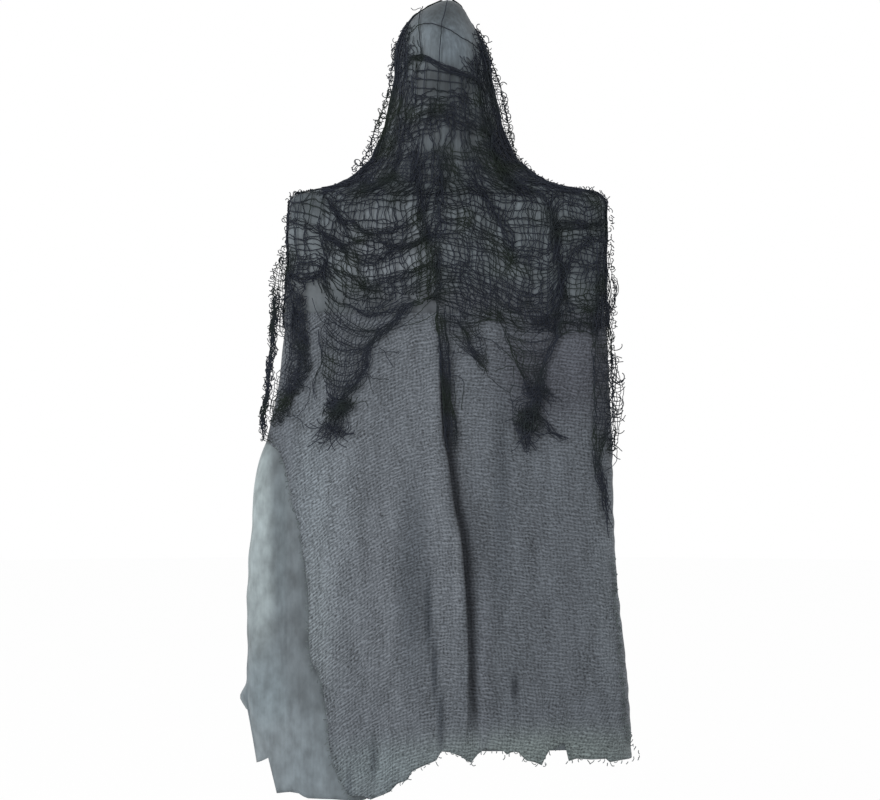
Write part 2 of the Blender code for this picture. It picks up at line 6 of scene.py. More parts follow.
import bmesh
import bpy
import numpy as np
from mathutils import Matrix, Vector


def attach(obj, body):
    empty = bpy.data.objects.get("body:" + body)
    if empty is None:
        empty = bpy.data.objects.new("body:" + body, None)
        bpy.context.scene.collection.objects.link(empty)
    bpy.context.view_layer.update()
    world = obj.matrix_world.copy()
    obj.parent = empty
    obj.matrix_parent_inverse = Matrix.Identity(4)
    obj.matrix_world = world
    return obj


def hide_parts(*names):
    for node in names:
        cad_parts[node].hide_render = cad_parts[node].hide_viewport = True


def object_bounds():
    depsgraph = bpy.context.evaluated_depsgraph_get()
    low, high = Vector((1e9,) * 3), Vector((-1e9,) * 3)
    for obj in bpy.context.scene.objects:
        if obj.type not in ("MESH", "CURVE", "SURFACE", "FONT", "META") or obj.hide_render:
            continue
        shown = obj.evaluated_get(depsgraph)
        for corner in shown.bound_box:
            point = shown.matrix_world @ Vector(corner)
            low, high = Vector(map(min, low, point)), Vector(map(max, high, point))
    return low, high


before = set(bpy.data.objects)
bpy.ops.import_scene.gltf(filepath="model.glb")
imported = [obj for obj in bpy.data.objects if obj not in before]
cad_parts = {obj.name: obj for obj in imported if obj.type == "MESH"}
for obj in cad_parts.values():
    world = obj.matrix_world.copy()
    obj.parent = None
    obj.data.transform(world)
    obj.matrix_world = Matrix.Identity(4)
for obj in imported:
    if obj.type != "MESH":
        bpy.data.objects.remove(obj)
cad_box = [list(corner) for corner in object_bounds()]

# Studio: a white ground and backdrop, a broad soft lamp from the upper left, a weak one from the
# right and a pale surround. The camera looks straight at the front of the hanging figure.
VIEW_BACK = 2.75
VIEW_WIDTH = 0.99  # what the camera sees across, at the figure
VIEW_ASIDE = -0.008
VIEW_DROP = 0.449  # from the crown down to the middle of the picture
CROWN_Z = -0.0185  # height of the hood's crown
FLOOR_BELOW = 0.11
FLOOR_RADIUS = 6.0
WHITE = (1, 1, 1, 1)


def linear(code):
    """sRGB hex to the linear colour that a shader takes."""
    parts = [int(code[i : i + 2], 16) / 255 for i in (0, 2, 4)]
    return (*[p / 12.92 if p <= 0.04045 else ((p + 0.055) / 1.055) ** 2.4 for p in parts], 1)


def node(tree, kind, inputs=None, **settings):
    """Adds a node, sets its properties, and sets or links its inputs."""
    made = tree.nodes.new("ShaderNode" + kind)
    for name, value in settings.items():
        setattr(made, name, value)
    for name, value in (inputs or {}).items():
        if isinstance(value, bpy.types.NodeSocket):
            tree.links.new(value, made.inputs[name])
        else:
            made.inputs[name].default_value = value
    return made


def seen_directly(tree):
    """1 on rays from the camera, and on those that metal and glass send to the background."""
    path = node(tree, "LightPath").outputs
    shiny = node(tree, "Math", {0: path["Is Camera Ray"], 1: path["Is Glossy Ray"]}, operation="MAXIMUM")
    clear = {0: shiny.outputs[0], 1: path["Is Transmission Ray"]}
    return node(tree, "Math", clear, operation="MAXIMUM").outputs[0]


scene = bpy.context.scene
scene.view_settings.view_transform = "Standard"
world = bpy.data.worlds.new("pale_surround")
world.use_nodes = True
scene.world = world
tree = world.node_tree
tree.nodes.clear()
light = node(tree, "Background", {"Color": WHITE, "Strength": 0.62})
backdrop = node(tree, "Background", {"Color": WHITE, "Strength": 1.0})
both = node(tree, "MixShader", {0: seen_directly(tree), 1: light.outputs[0], 2: backdrop.outputs[0]})
node(tree, "OutputWorld", {"Surface": both.outputs[0]})

floor_paint = bpy.data.materials.new("white_studio_floor")  # matt paint, which keeps the shadow
floor_paint.use_nodes = True
tree = floor_paint.node_tree
tree.nodes.clear()
matt = node(tree, "BsdfDiffuse", {"Color": linear("f7f7f7"), "Roughness": 0.5})
glow = node(tree, "Emission", {"Color": WHITE, "Strength": 1.0})
share = node(tree, "Math", {0: seen_directly(tree), 1: 0.97}, operation="MULTIPLY")
ground = node(tree, "MixShader", {0: share.outputs[0], 1: matt.outputs[0], 2: glow.outputs[0]})
node(tree, "OutputMaterial", {"Surface": ground.outputs[0]})
bm = bmesh.new()
bmesh.ops.create_circle(bm, cap_ends=True, segments=96, radius=FLOOR_RADIUS)
bmesh.ops.translate(bm, vec=(0, 0, cad_box[0][2] - FLOOR_BELOW), verts=bm.verts)
floor_mesh = bpy.data.meshes.new("studio_floor")
bm.to_mesh(floor_mesh)
bm.free()
floor_mesh.materials.append(floor_paint)
floor = bpy.data.objects.new("studio_floor", floor_mesh)
scene.collection.objects.link(floor)


def lamp(name, place, aim, size, power):
    """A square soft box that looks at a point."""
    data = bpy.data.lights.new(name, "AREA")
    data.size = size
    data.energy = power
    made = bpy.data.objects.new(name, data)
    made.location = place
    made.rotation_euler = (Vector(aim) - made.location).to_track_quat("-Z", "Y").to_euler()
    scene.collection.objects.link(made)


FIGURE_MIDDLE = (0, 0, CROWN_Z - VIEW_DROP)
lamp("key_light", (-2.0, -2.1, 0.9), FIGURE_MIDDLE, 1.1, 46)
lamp("fill_light", (2.4, -2.2, -0.1), FIGURE_MIDDLE, 1.6, 9)

lens = bpy.data.cameras.new("camera")
lens.sensor_width = 36
lens.lens = lens.sensor_width * VIEW_BACK / VIEW_WIDTH
camera = bpy.data.objects.new("camera", lens)
camera.location = (VIEW_ASIDE, -VIEW_BACK, CROWN_Z - VIEW_DROP)
camera.rotation_euler = (math.pi / 2, 0, 0)
scene.collection.objects.link(camera)
scene.camera = camera


# Hanging eye: bright drawn steel wire, bent to a loop and screwed into the dowel. The wire keeps
# the fine lines of the die along its length.
def new_finish(name, colour, roughness, **sockets):
    """A principled material with its own colour. Returns it, its nodes and the shader."""
    made = bpy.data.materials.new(name)
    made.use_nodes = True
    shader = made.node_tree.nodes["Principled BSDF"]
    shader.inputs["Base Color"].default_value = colour
    shader.inputs["Roughness"].default_value = roughness
    for socket, value in sockets.items():
        shader.inputs[socket.replace("_", " ")].default_value = value
    return made, made.node_tree, shader


def spots(tree, source, size, detail=2.0, stretch=(1, 1, 1)):
    """Soft noise with features of a real size in metres."""
    scale = tuple(1 / (size * s) for s in stretch)
    mapped = node(tree, "Mapping", {"Vector": source, "Scale": scale})
    noise = {"Vector": mapped.outputs[0], "Scale": 1.0, "Detail": detail}
    return node(tree, "TexNoise", noise).outputs[0]


def tinted(tree, amount, low, high, start=0.3, end=0.7):
    """A colour between two hex values, by how much."""
    ramp = node(tree, "ValToRGB", {0: amount})
    ramp.color_ramp.elements[0].position = start
    ramp.color_ramp.elements[0].color = linear(low)
    ramp.color_ramp.elements[1].position = end
    ramp.color_ramp.elements[1].color = linear(high)
    return ramp.outputs[0]


def finish_node(name, material):
    """Gives a carried-over CAD piece its finish."""
    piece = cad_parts[name]
    piece.data.materials.clear()
    piece.data.materials.append(material)


steel, tree, shader = new_finish("drawn_steel", linear("c4c4c6"), 0.3, Metallic=1.0)
place = node(tree, "TexCoord").outputs["Object"]
dull = spots(tree, place, 0.0012, 3.0)
rough = node(tree, "MapRange", {"Value": dull, "To Min": 0.2, "To Max": 0.42})
tree.links.new(rough.outputs[0], shader.inputs["Roughness"])
tree.links.new(tinted(tree, dull, "a9a9ac", "d0d0d2"), shader.inputs["Base Color"])
finish_node("hanging_eye", steel)

# Dowel and slat: bare pine, turned and sawn. The grain runs along each one, in bands of about
# three millimetres, and the saw leaves a fine fuzz.
def pine_finish(name, stretch):
    """Bare pine whose grain is drawn out along one way."""
    pine, tree, shader = new_finish(name, linear("cda878"), 0.65)
    place = node(tree, "TexCoord").outputs["Object"]
    grain = spots(tree, place, 0.003, 4.0, stretch)
    tree.links.new(tinted(tree, grain, "b98d5c", "dcbd8f"), shader.inputs["Base Color"])
    bump = node(tree, "Bump", {"Height": grain, "Strength": 0.4, "Distance": 0.0002})
    tree.links.new(bump.outputs[0], shader.inputs["Normal"])
    return pine


finish_node("neck_rod", pine_finish("turned_pine", (1, 1, 30)))
finish_node("shoulder_bar", pine_finish("sawn_pine", (30, 1, 1)))


# Head and shoulder blocks: white moulded bead foam, which shows its beads, about 3 mm across.
foam, tree, shader = new_finish("bead_foam", linear("ecece8"), 0.75)
place = node(tree, "TexCoord").outputs["Object"]
BEADS = 330  # in a metre
mapped = node(tree, "Mapping", {"Vector": place, "Scale": (BEADS, BEADS, BEADS)})
beads = node(tree, "TexVoronoi", {"Vector": mapped.outputs[0], "Scale": 1.0}).outputs["Distance"]
bump = node(tree, "Bump", {"Height": beads, "Strength": 0.5, "Distance": 0.0006}, invert=True)
tree.links.new(bump.outputs[0], shader.inputs["Normal"])
tree.links.new(tinted(tree, beads, "f2f2ee", "dcdcd6", 0.2, 0.8), shader.inputs["Base Color"])
for name in ("head_form", "shoulder_block_left", "shoulder_block_right"):
    finish_node(name, foam)


# Liner: one light blue-grey robe of smooth thin polyester with a closed hood, cut wide on the left.
# It lies on the foam head and shoulders, hangs in soft folds from there, and its hem is torn.
LINER_THICK = 0.0006
HEAD_WIDTH = 0.101
HEAD_DEPTH = 0.112
DOME_HEIGHT = 0.0866  # from the widest level of the hood up to its crown
DOME_END = 0.0642  # how far down the hood follows the foam
CROWN_NARROW = 0.2
CROWN_LEAN = 0.0085  # how far the hood hangs left of the rod where it leans most
HEAD_CLEAR = 0.0016
NECK_DROP, NECK_WIDTH, NECK_DEPTH = 0.168, 0.150, 0.124
SHOULDER_DROP, SHOULDER_WIDTH, SHOULDER_DEPTH = 0.231, 0.354, 0.076
SEAM_DROP = 0.352
ROBE_LENGTH = 0.899
HEM_LEFT, HEM_RIGHT, HEM_DEPTH = 0.223, 0.204, 0.128
SHOULDER_CURVE = (
    (0.05, 0.19), (0.17, 0.37), (0.31, 0.55), (0.50, 0.69), (0.735, 0.755), (0.91, 0.81), (1.0, 1.0),
)
LEFT_FLARE = (
    (0.14, 0.18), (0.257, 0.47), (0.383, 0.80), (0.525, 0.98), (0.754, 1.0), (0.9, 0.87), (1, 0.75),
)
RIGHT_FLARE = ((0.383, 0.23), (0.59, 0.54), (0.79, 0.85), (0.90, 0.96), (1, 1))
DEPTH_FLARE = ((0.257, 0.3), (0.5, 0.6), (0.76, 0.84), (1, 1))
SQUARE_FLARE = ((0.25, 0.35), (0.5, 0.7), (1, 1))
LEAN_CURVE = ((0, 0), (0.10, 1), (0.19, 0.92), (0.36, 0.55), (0.55, 0.5), (0.75, 0.5), (0.93, 0))


def smooth(points, at):
    """Values at places on a curve through (place, value) points that never overshoots them."""
    places, values = np.array(points, float).T
    steps = np.diff(places)
    slopes = np.diff(values) / steps
    same_way = slopes[:-1] * slopes[1:] > 0
    total = np.where(same_way, slopes[:-1] + slopes[1:], 1.0)
    inner = np.where(same_way, 2 * slopes[:-1] * slopes[1:] / total, 0.0)
    tangents = np.concatenate(([slopes[0]], inner, [slopes[-1]]))
    at = np.clip(at, places[0], places[-1])
    i = np.clip(np.searchsorted(places, at, side="right") - 1, 0, len(steps) - 1)
    share = (at - places[i]) / steps[i]
    rise_in, rise_out = tangents[i] * steps[i], tangents[i + 1] * steps[i]
    start = (1 + 2 * share) * (1 - share) ** 2 * values[i] + share * (1 - share) ** 2 * rise_in
    return start + share**2 * (3 - 2 * share) * values[i + 1] + share**2 * (share - 1) * rise_out


def between(low, high, at):
    """Soft step from 0 at low to 1 at high."""
    share = np.clip((at - low) / (high - low), 0, 1)
    return share * share * (3 - 2 * share)


def profile(neck, corner, hem, flare):
    """Points (drop, half size) of the cloth from the neck over the shoulder down to the hem."""
    points = [(NECK_DROP, neck)]
    for out, down in SHOULDER_CURVE:
        drop = NECK_DROP + down * (SHOULDER_DROP - NECK_DROP)
        points.append((drop, neck + out * (corner - neck)))
    points.append((SEAM_DROP, corner))
    for down, out in flare:
        points.append((SEAM_DROP + down * (ROBE_LENGTH - SEAM_DROP), corner + out * (hem - corner)))
    return points


def half_sizes(head_size, neck, corner, hem, flare, drops):
    """Half a section's width or depth: an ellipse on the crown, and the curve below it."""
    widest = head_size / 2 + HEAD_CLEAR
    dome = widest * np.sqrt(np.clip(1 - (1 - drops / DOME_HEIGHT) ** 2, 0, 1))
    dome = dome * (1 - CROWN_NARROW * (1 - drops / DOME_END) ** 2)
    end = widest * math.sqrt(1 - (1 - DOME_END / DOME_HEIGHT) ** 2)
    below = smooth([(DOME_END, end)] + profile(neck, corner, hem, flare), drops)
    return np.where(drops <= DOME_END, dome, below)


DOME_TURN = math.acos(1 - DOME_END / DOME_HEIGHT)
DOME_DROPS = DOME_HEIGHT * (1 - np.cos(np.linspace(math.radians(3), DOME_TURN, 40)))
DROPS = np.concatenate((DOME_DROPS, np.linspace(DOME_DROPS[-1], ROBE_LENGTH + 0.02, 440)[1:]))
HALF = 240  # steps of the tables across the front, and as many across the back
PLACES = np.linspace(0, 2, 2 * HALF + 1)  # to 1 across the front from left to right, to 2 across the back


def form_table():
    """Points of the liner's plain form by drop and place."""
    left = half_sizes(HEAD_WIDTH, NECK_WIDTH / 2, SHOULDER_WIDTH / 2, HEM_LEFT, LEFT_FLARE, DROPS)
    right = half_sizes(HEAD_WIDTH, NECK_WIDTH / 2, SHOULDER_WIDTH / 2, HEM_RIGHT, RIGHT_FLARE, DROPS)
    deep = half_sizes(HEAD_DEPTH, NECK_DEPTH / 2, SHOULDER_DEPTH / 2, HEM_DEPTH / 2, DEPTH_FLARE, DROPS)
    square = smooth([(DOME_DROPS[-1], 2.0)] + profile(2.2, 5.0, 2.7, SQUARE_FLARE), DROPS)
    lean = CROWN_LEAN * smooth(LEAN_CURVE, DROPS / SHOULDER_DROP)
    turn = np.linspace(0, math.pi, 181)
    across, out = np.cos(turn), np.clip(np.sin(turn), 0, 1)
    table = np.zeros((len(DROPS), len(PLACES), 3))
    front = PLACES <= 1
    for i, drop in enumerate(DROPS):
        x = np.where(across > 0, -left[i], right[i]) * np.abs(across) ** (2 / square[i]) - lean[i]
        y = deep[i] * out ** (2 / square[i])
        length = np.concatenate(([0], np.cumsum(np.hypot(np.diff(x), np.diff(y)))))
        at = np.where(front, PLACES, 2 - PLACES) * length[-1]
        table[i, :, 0] = np.interp(at, length, x)
        table[i, :, 1] = np.interp(at, length, y) * np.where(front, -1, 1)
        table[i, :, 2] = CROWN_Z - drop
    return table


FORM = form_table()
WIDTHS = np.stack((-FORM[:, 0, 0], FORM[:, HALF, 0]), axis=1)


def outward_table():
    """Directions straight out of the form."""
    down = np.gradient(FORM, axis=0)
    wrapped = np.concatenate((FORM[:, -2:-1], FORM, FORM[:, 1:2]), axis=1)
    across = (wrapped[:, 2:] - wrapped[:, :-2]) / 2
    out = np.cross(down, across)
    return out / np.linalg.norm(out, axis=2, keepdims=True)


OUTWARD = outward_table()
SHARES = np.linspace(-1, 1, HALF + 1)
PLACE_OF = np.array(
    [
        np.interp(SHARES * np.where(SHARES < 0, w[0], w[1]), row[: HALF + 1, 0], PLACES[: HALF + 1])
        for row, w in zip(FORM, WIDTHS)
    ]
)


def lookup(table, row, column):
    """Bilinear value in a table at real-valued rows and columns."""
    row = np.clip(row, 0, table.shape[0] - 1.001)
    column = np.clip(column, 0, table.shape[1] - 1.001)
    i, j = row.astype(int), column.astype(int)
    a, b = row - i, column - j
    if table.ndim == 3:
        a, b = a[..., None], b[..., None]
    high = table[i, j] * (1 - b) + table[i, j + 1] * b
    return high * (1 - a) + (table[i + 1, j] * (1 - b) + table[i + 1, j + 1] * b) * a


def row_of(drop):
    """Row of the tables at a drop."""
    return np.interp(drop, DROPS, np.arange(len(DROPS)))


def on_form(drop, place, lift):
    """Points a lift out from the form."""
    drop, place = np.broadcast_arrays(np.asarray(drop, float), np.asarray(place, float))
    row, column = row_of(drop), (place % 2) * HALF
    out = lookup(OUTWARD, row, column)
    out /= np.linalg.norm(out, axis=-1, keepdims=True)
    return lookup(FORM, row, column) + out * np.asarray(lift)[..., None]


def place_at(x, drop):
    """Place on the front that lies at x, and how far x lies beyond the form's edge."""
    row = row_of(drop)
    left, right = lookup(WIDTHS, row, np.zeros_like(row)), lookup(WIDTHS, row, np.ones_like(row))
    share = np.where(x < 0, x / left, x / right)
    beyond = np.where(share < -1, x + left, np.where(share > 1, x - right, 0.0))
    return lookup(PLACE_OF, row, (np.clip(share, -1, 1) + 1) * HALF / 2), beyond


def across_at(drop, place):
    """How far across the form a place lies."""
    return lookup(FORM[:, :, 0], row_of(drop), (place % 2) * HALF)


def route(points, step=0.0025):
    """A smooth route (across, down) in metres through points in millimetres."""
    points = np.array(points, float) / 1000
    length = np.concatenate(([0], np.cumsum(np.hypot(*np.diff(points, axis=0).T))))
    at = np.linspace(0, length[-1], max(int(length[-1] / step), 3) + 1)
    line = np.stack([smooth(np.stack((length, points[:, i]), 1), at) for i in (0, 1)], axis=1)
    return nearer(line)


def nearer(line):
    """Moves a route that was seen at the distance of the robe's edges onto its front, which lies
    nearer to the camera."""
    place, _ = place_at(line[:, 0], line[:, 1])
    depth = lookup(FORM[:, :, 1], row_of(line[:, 1]), place * HALF)
    scale = 1 + depth / VIEW_BACK
    x = VIEW_ASIDE + (line[:, 0] - VIEW_ASIDE) * scale
    return np.stack((x, VIEW_DROP + (line[:, 1] - VIEW_DROP) * scale), axis=1)


def to_line(x, drop, line):
    """Vector from points to the nearest point of a route, and the share along the route."""
    gap = line[None, :, :] - np.stack((x, drop), axis=-1).reshape(-1, 1, 2)
    nearest = np.argmin((gap**2).sum(2), axis=1)
    vector = gap[np.arange(len(nearest)), nearest].reshape(*x.shape, 2)
    return vector, (nearest / max(len(line) - 1, 1)).reshape(x.shape)


def ripple(a, b, size, seed):
    """Smooth noise from about -1 to 1 over two coordinates, with features of about a size."""
    draws = np.random.default_rng(seed)
    total = 0.0
    for angle, phase, wave in zip(*draws.uniform(0, 1, (3, 6))):
        k = math.tau / size * (0.6 + 0.8 * wave)
        turn = math.tau * angle
        total = total + np.sin(k * (a * math.cos(turn) + b * math.sin(turn)) + math.tau * phase)
    return total / 2.6


def paint_tone_and_light(made, x, drop, base, patches):
    """Keeps a colour at each vertex: the base, and soft patches of other tones, painted light and
    painted shade over it. Each is (middle across, middle down, half width, half height, colour), in
    millimetres."""
    colour = np.tile(np.array(linear(base)), (len(x), 1))
    for across, down, wide, high, shade in patches:
        far = ((x * 1000 - across) / wide) ** 2 + ((drop * 1000 - down) / high) ** 2
        share = np.exp(-(far**1.5))[:, None]
        colour = colour * (1 - share) + np.array(linear(shade)) * share
    layer = made.data.attributes.new("tone_and_painted_light", "FLOAT_COLOR", "POINT")
    layer.data.foreach_set("color", colour.ravel())


def relief(x, drop, folds):
    """Height of soft folds that run along routes. Each is (route, width, height)."""
    total = np.zeros_like(x)
    for points, width, height in folds:
        vector, share = to_line(x, drop, route(points, 0.006))
        across = np.hypot(vector[..., 0], vector[..., 1]) / width
        total += height * np.exp(-(across**2)) * np.sin(math.pi * (0.08 + 0.84 * share)) ** 0.5
    return total


def new_grid(name, columns, rows):
    """A square grid of quads as an object, with each vertex's share across and down."""
    bm = bmesh.new()
    bmesh.ops.create_grid(bm, x_segments=columns, y_segments=rows, size=0.5)
    mesh = bpy.data.meshes.new(name)
    bm.to_mesh(mesh)
    bm.free()
    made = bpy.data.objects.new(name, mesh)
    scene.collection.objects.link(made)
    flat = np.zeros(len(mesh.vertices) * 3)
    mesh.vertices.foreach_get("co", flat)
    across, up, _ = flat.reshape(-1, 3).T
    return made, across + 0.5, 0.5 - up


def shape(made, points, material, thick, closed=False):
    """Puts a grid's vertices in place, turns its faces out and gives the cloth its thickness."""
    mesh = made.data
    mesh.vertices.foreach_set("co", np.ascontiguousarray(points, float).ravel())
    bm = bmesh.new()
    bm.from_mesh(mesh)
    if closed:
        bmesh.ops.remove_doubles(bm, verts=bm.verts, dist=0.00002)
    bmesh.ops.recalc_face_normals(bm, faces=bm.faces)
    middle = sum(f.normal.dot(f.calc_center_median() * Vector((1, 1, 0))) for f in bm.faces)
    if middle < 0:
        bmesh.ops.reverse_faces(bm, faces=bm.faces)
    bm.to_mesh(mesh)
    bm.free()
    mesh.materials.append(material)
    mesh.shade_smooth()
    wall = made.modifiers.new("thickness", "SOLIDIFY")
    wall.thickness = thick
    wall.offset = -1
    return made


LINER_BAND = (
    (-188, 528), (-192, 584), (-197, 629), (-197, 674), (-192, 730), (-188, 775), (-181, 831),
    (-176, 888),
)
LINER_HEM = (
    (-234, 783), (-226, 791), (-217, 799), (-217, 826), (-217, 855), (-208, 854), (-199, 850),
    (-199, 867), (-198, 891), (-183, 890), (-169, 892), (-165, 897), (-137, 898), (-108, 900),
)
LINER_FOLDS = (
    (LINER_BAND, 0.007, -0.0035),
    (((-205, 500), (-212, 600), (-214, 700), (-212, 800)), 0.012, 0.004),
    (((-168, 470), (-172, 560), (-168, 680), (-160, 860)), 0.010, 0.003),
    (((4, 5), (14, 10), (24, 20), (30, 28)), 0.008, 0.0026),
)
EDGE_BULGE = ((0.30, 0), (0.345, 4.5), (0.48, 4.5), (0.52, 7.5), (0.545, 6), (0.59, 0))  # (drop, mm)
HOOD_INSET = 0.0036  # how far the hood is drawn in at its sides, under the net's loose edge
BACK_HEM = 0.062  # how much higher the plain back hem is
HIDDEN_HEM = 0.055  # how much higher the front hem is where the gauze hides it
HEM_LEVEL = 0.06  # above the hem's lowest point, where its teeth are read off
CORNER_FLICK = 0.009  # how far the torn left corner stands out


def liner_hem(place):
    """Drop of the liner's torn hem at a place."""
    x = across_at(np.full_like(place, ROBE_LENGTH - HEM_LEVEL), place)
    seen = nearer(np.array(LINER_HEM, float) / 1000)
    torn = np.interp(x, seen[:, 0], seen[:, 1])
    hidden = seen[-1, 1] - HIDDEN_HEM * between(-0.10, -0.04, x)
    torn = np.where(x > seen[-1, 0], hidden, torn)
    back = ROBE_LENGTH - BACK_HEM - 0.004 * np.sin(9 * math.pi * place) ** 2
    ends = between(1.0, 1.08, place) * (1 - between(1.86, 2.0, place))
    edge = np.where(place < 1.5, ROBE_LENGTH - HEM_LEVEL, seen[0, 1])
    return np.where(place <= 1, torn, edge + (back - edge) * ends)


def liner_lift(x, drop, place):
    """Soft folds and wrinkles of the liner."""
    robe = between(SHOULDER_DROP, SEAM_DROP + 0.1, drop)
    hood = between(0.09, 0.15, drop)
    wrinkle = 0.0006 * hood * ripple(x * 1.5, drop, 0.035, 11)
    hang = 0.0018 * robe * ripple(x, drop * 0.15, 0.05, 12)
    front = relief(x, drop, LINER_FOLDS) * (place <= 1)
    left_side = np.minimum(place, 2 - place)
    beside = np.exp(-((left_side / 0.07) ** 2))
    either = np.exp(-((np.minimum(left_side, np.abs(place - 1)) / 0.2) ** 2))
    drawn_in = HOOD_INSET * between(0.066, 0.09, drop) * (1 - between(0.14, 0.175, drop)) * either
    return wrinkle + hang - 0.0012 * robe + front + smooth(EDGE_BULGE, drop) / 1000 * beside - drawn_in


LINER_DROPS = np.concatenate((DOME_DROPS[3::4], np.linspace(DOME_DROPS[-1], ROBE_LENGTH, 150)[1:]))
liner, across, down = new_grid("liner_robe", 176, len(LINER_DROPS) - 1)
drop = np.interp(down * (len(LINER_DROPS) - 1), np.arange(len(LINER_DROPS)), LINER_DROPS)
place = across * 2
drop = drop + (liner_hem(place) - ROBE_LENGTH) * between(0.70, ROBE_LENGTH, drop)
x = across_at(drop, place)
points = on_form(drop, place, liner_lift(x, drop, place))
corner_drop = LINER_HEM[0][1] / 1000
corner = np.exp(-(((drop - corner_drop) / 0.012) ** 2))
corner = corner * np.exp(-((np.minimum(place, 2 - place) / 0.03) ** 2))
points[:, 0] -= CORNER_FLICK * corner

# Painted light where light comes through the liner, painted shade on hood, neck, shoulders, chest.
LINER_PAINTED_LIGHT_AND_SHADE = (  # painted light and painted shade
    (-3, 45, 34, 42, "59636a"),
    (0, 14, 44, 20, "3b4348"),
    (8, 62, 15, 24, "606b73"),
    (-8, 102, 38, 26, "32393e"),
    (0, 156, 60, 38, "464d52"),
    (-157, 226, 30, 26, "434b50"),
    (-52, 125, 14, 60, "3c4247"),
    (-84, 176, 34, 26, "33393d"),
    (70, 172, 28, 34, "33393d"),
    (-70, 285, 60, 50, "757c82"),
    (-160, 330, 30, 26, "565c60"),
    (10, 344, 130, 20, "575c62"),
    (-212, 560, 16, 150, "98a4a6"),
    (-206, 640, 14, 90, "929da0"),
    (-186, 610, 11, 90, "626c71"),
    (-203, 790, 26, 60, "78848a"),
    (-190, 850, 60, 46, "7a8388"),
    (-150, 860, 40, 60, "727c82"),
)
# Smooth woven polyester with a faint sheen. Its threads are too fine to show, so streaks stand for
# them, clearest on the hood, and soft clouds and crumples of tone are painted light and shade
# that stand for its many small wrinkles.
liner_cloth, tree, shader = new_finish("smooth_polyester", linear("8b979b"), 0.7)
shader.inputs["Sheen Weight"].default_value = 0.1
place_on = node(tree, "TexCoord").outputs["Object"]
# The vertex colour holds the liner's base tone with painted light and painted shade over it.
tone_and_painted_light = node(tree, "Attribute", attribute_name="tone_and_painted_light").outputs["Color"]
streaks = spots(tree, place_on, 0.003, 3.0, (1, 1, 14))  # threads drawn down by the cloth's weight
# The clouds and crumples are painted light and shade of the cloth's small wrinkles.
clouds = spots(tree, place_on, 0.03, 3.0)
height = node(tree, "SeparateXYZ", {0: place_on}).outputs["Z"]
on_hood = {"Value": height, "From Min": -0.35, "From Max": -0.2, "To Min": 0.35, "To Max": 1.5}
streaky = node(tree, "MapRange", on_hood).outputs[0]
centred = node(tree, "Math", {0: streaks, 1: 0.5}, operation="SUBTRACT")
drawn = node(tree, "Math", {0: centred.outputs[0], 1: streaky}, operation="MULTIPLY")
crumples = spots(tree, place_on, 0.011, 3.0, (1, 1, 1.6))
uneven = node(tree, "Math", {0: crumples, 1: 1.3, 2: drawn.outputs[0]}, operation="MULTIPLY_ADD")
tone = node(tree, "Math", {0: clouds, 1: 0.6, 2: uneven.outputs[0]}, operation="MULTIPLY_ADD")
spread = {"Value": tone.outputs[0], "From Min": 0.65, "From Max": 1.25, "To Min": 0.72, "To Max": 1.26}
strength = node(tree, "MapRange", spread)
shade = node(tree, "VectorMath", {0: tone_and_painted_light, "Scale": strength.outputs[0]}, operation="SCALE")
tree.links.new(shade.outputs[0], shader.inputs["Base Color"])
fine = spots(tree, place_on, 0.0012, 2.0, (1, 1, 3))
bump = node(tree, "Bump", {"Height": fine, "Strength": 0.25, "Distance": 0.0002})
tree.links.new(bump.outputs[0], shader.inputs["Normal"])
paint_tone_and_light(liner, np.where(place <= 1, x, -0.19), drop, "5e666b", LINER_PAINTED_LIGHT_AND_SHADE)
shape(liner, points, liner_cloth, LINER_THICK, closed=True)
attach(liner, "root")
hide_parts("liner")


# Gauze skirt: open-weave cotton gauze dyed mid grey, with ribs about 4 mm apart. It is sewn
# round the liner below the yoke, parts on the left of the front, and its left half laps over the
# right in one long pleat. Its hem is cut ragged and frays.
GAUZE_THICK = 0.0007
GAUZE_OUT = 0.0034  # how far it hangs off the liner's form
GAUZE_CLEAR = 0.0016  # and at least off the liner itself
SEAM_OUT = 0.0016  # how far it lies off the form at its seam
GAUZE_BACK_HEM = 0.05  # how much higher its back hem is than the liner's lowest point
SLIT_DROP = 0.487
RIB_PITCH = 0.0040
GAUZE_EDGE = (
    (-208, 477), (-197, 492), (-184, 518), (-173, 566), (-165, 592), (-163, 613), (-155, 676),
    (-155, 718), (-151, 746), (-143, 759), (-137, 788), (-134, 816), (-132, 839), (-124, 868),
    (-108, 898),
)
GAUZE_HEM = (
    (-108, 894), (-102, 898), (-98, 897), (-84, 893), (-72, 889), (-60, 880), (-47, 876), (-40, 866),
    (-26, 860), (-12, 854), (-6, 844), (3, 845), (16, 850), (21, 854), (27, 857), (34, 848),
    (40, 843), (53, 842), (63, 843), (66, 848), (73, 844), (80, 845), (88, 854), (98, 856),
    (107, 860), (111, 849), (115, 843), (124, 839), (125, 835), (133, 835), (135, 846), (136, 855),
    (144, 852), (161, 853), (178, 852), (179, 856), (195, 853), (212, 850), (217, 852), (217, 846),
    (207, 834),
)
CREASE = (
    (-7, 354), (-4, 387), (-6, 449), (-4, 494), (0, 513), (7, 566), (15, 605), (18, 637), (22, 696),
    (24, 764), (26, 804),
)
GAUZE_FOLDS = (  # (route, width, height), in millimetres
    (((48, 370), (50, 505), (48, 629), (51, 786)), 10, 2.5),
    (((73, 730), (74, 755), (73, 775)), 5, 3.0),
    (((105, 426), (106, 561), (104, 696), (107, 831)), 9, -2.0),
    (((129, 471), (127, 629), (130, 837)), 10, 2.0),
    (((-35, 629), (-33, 719), (-36, 786), (-46, 837), (-48, 876)), 8, 3.0),
    (((-8, 775), (-12, 820), (-19, 856)), 9, 2.5),
    (((-115, 865), (-110, 879), (-107, 890)), 4, -3.0),
    (((-132, 561), (-125, 674), (-115, 809), (-102, 890)), 12, 2.5),
    (((-75, 539), (-71, 674), (-69, 786), (-75, 885)), 14, -2.0),
)
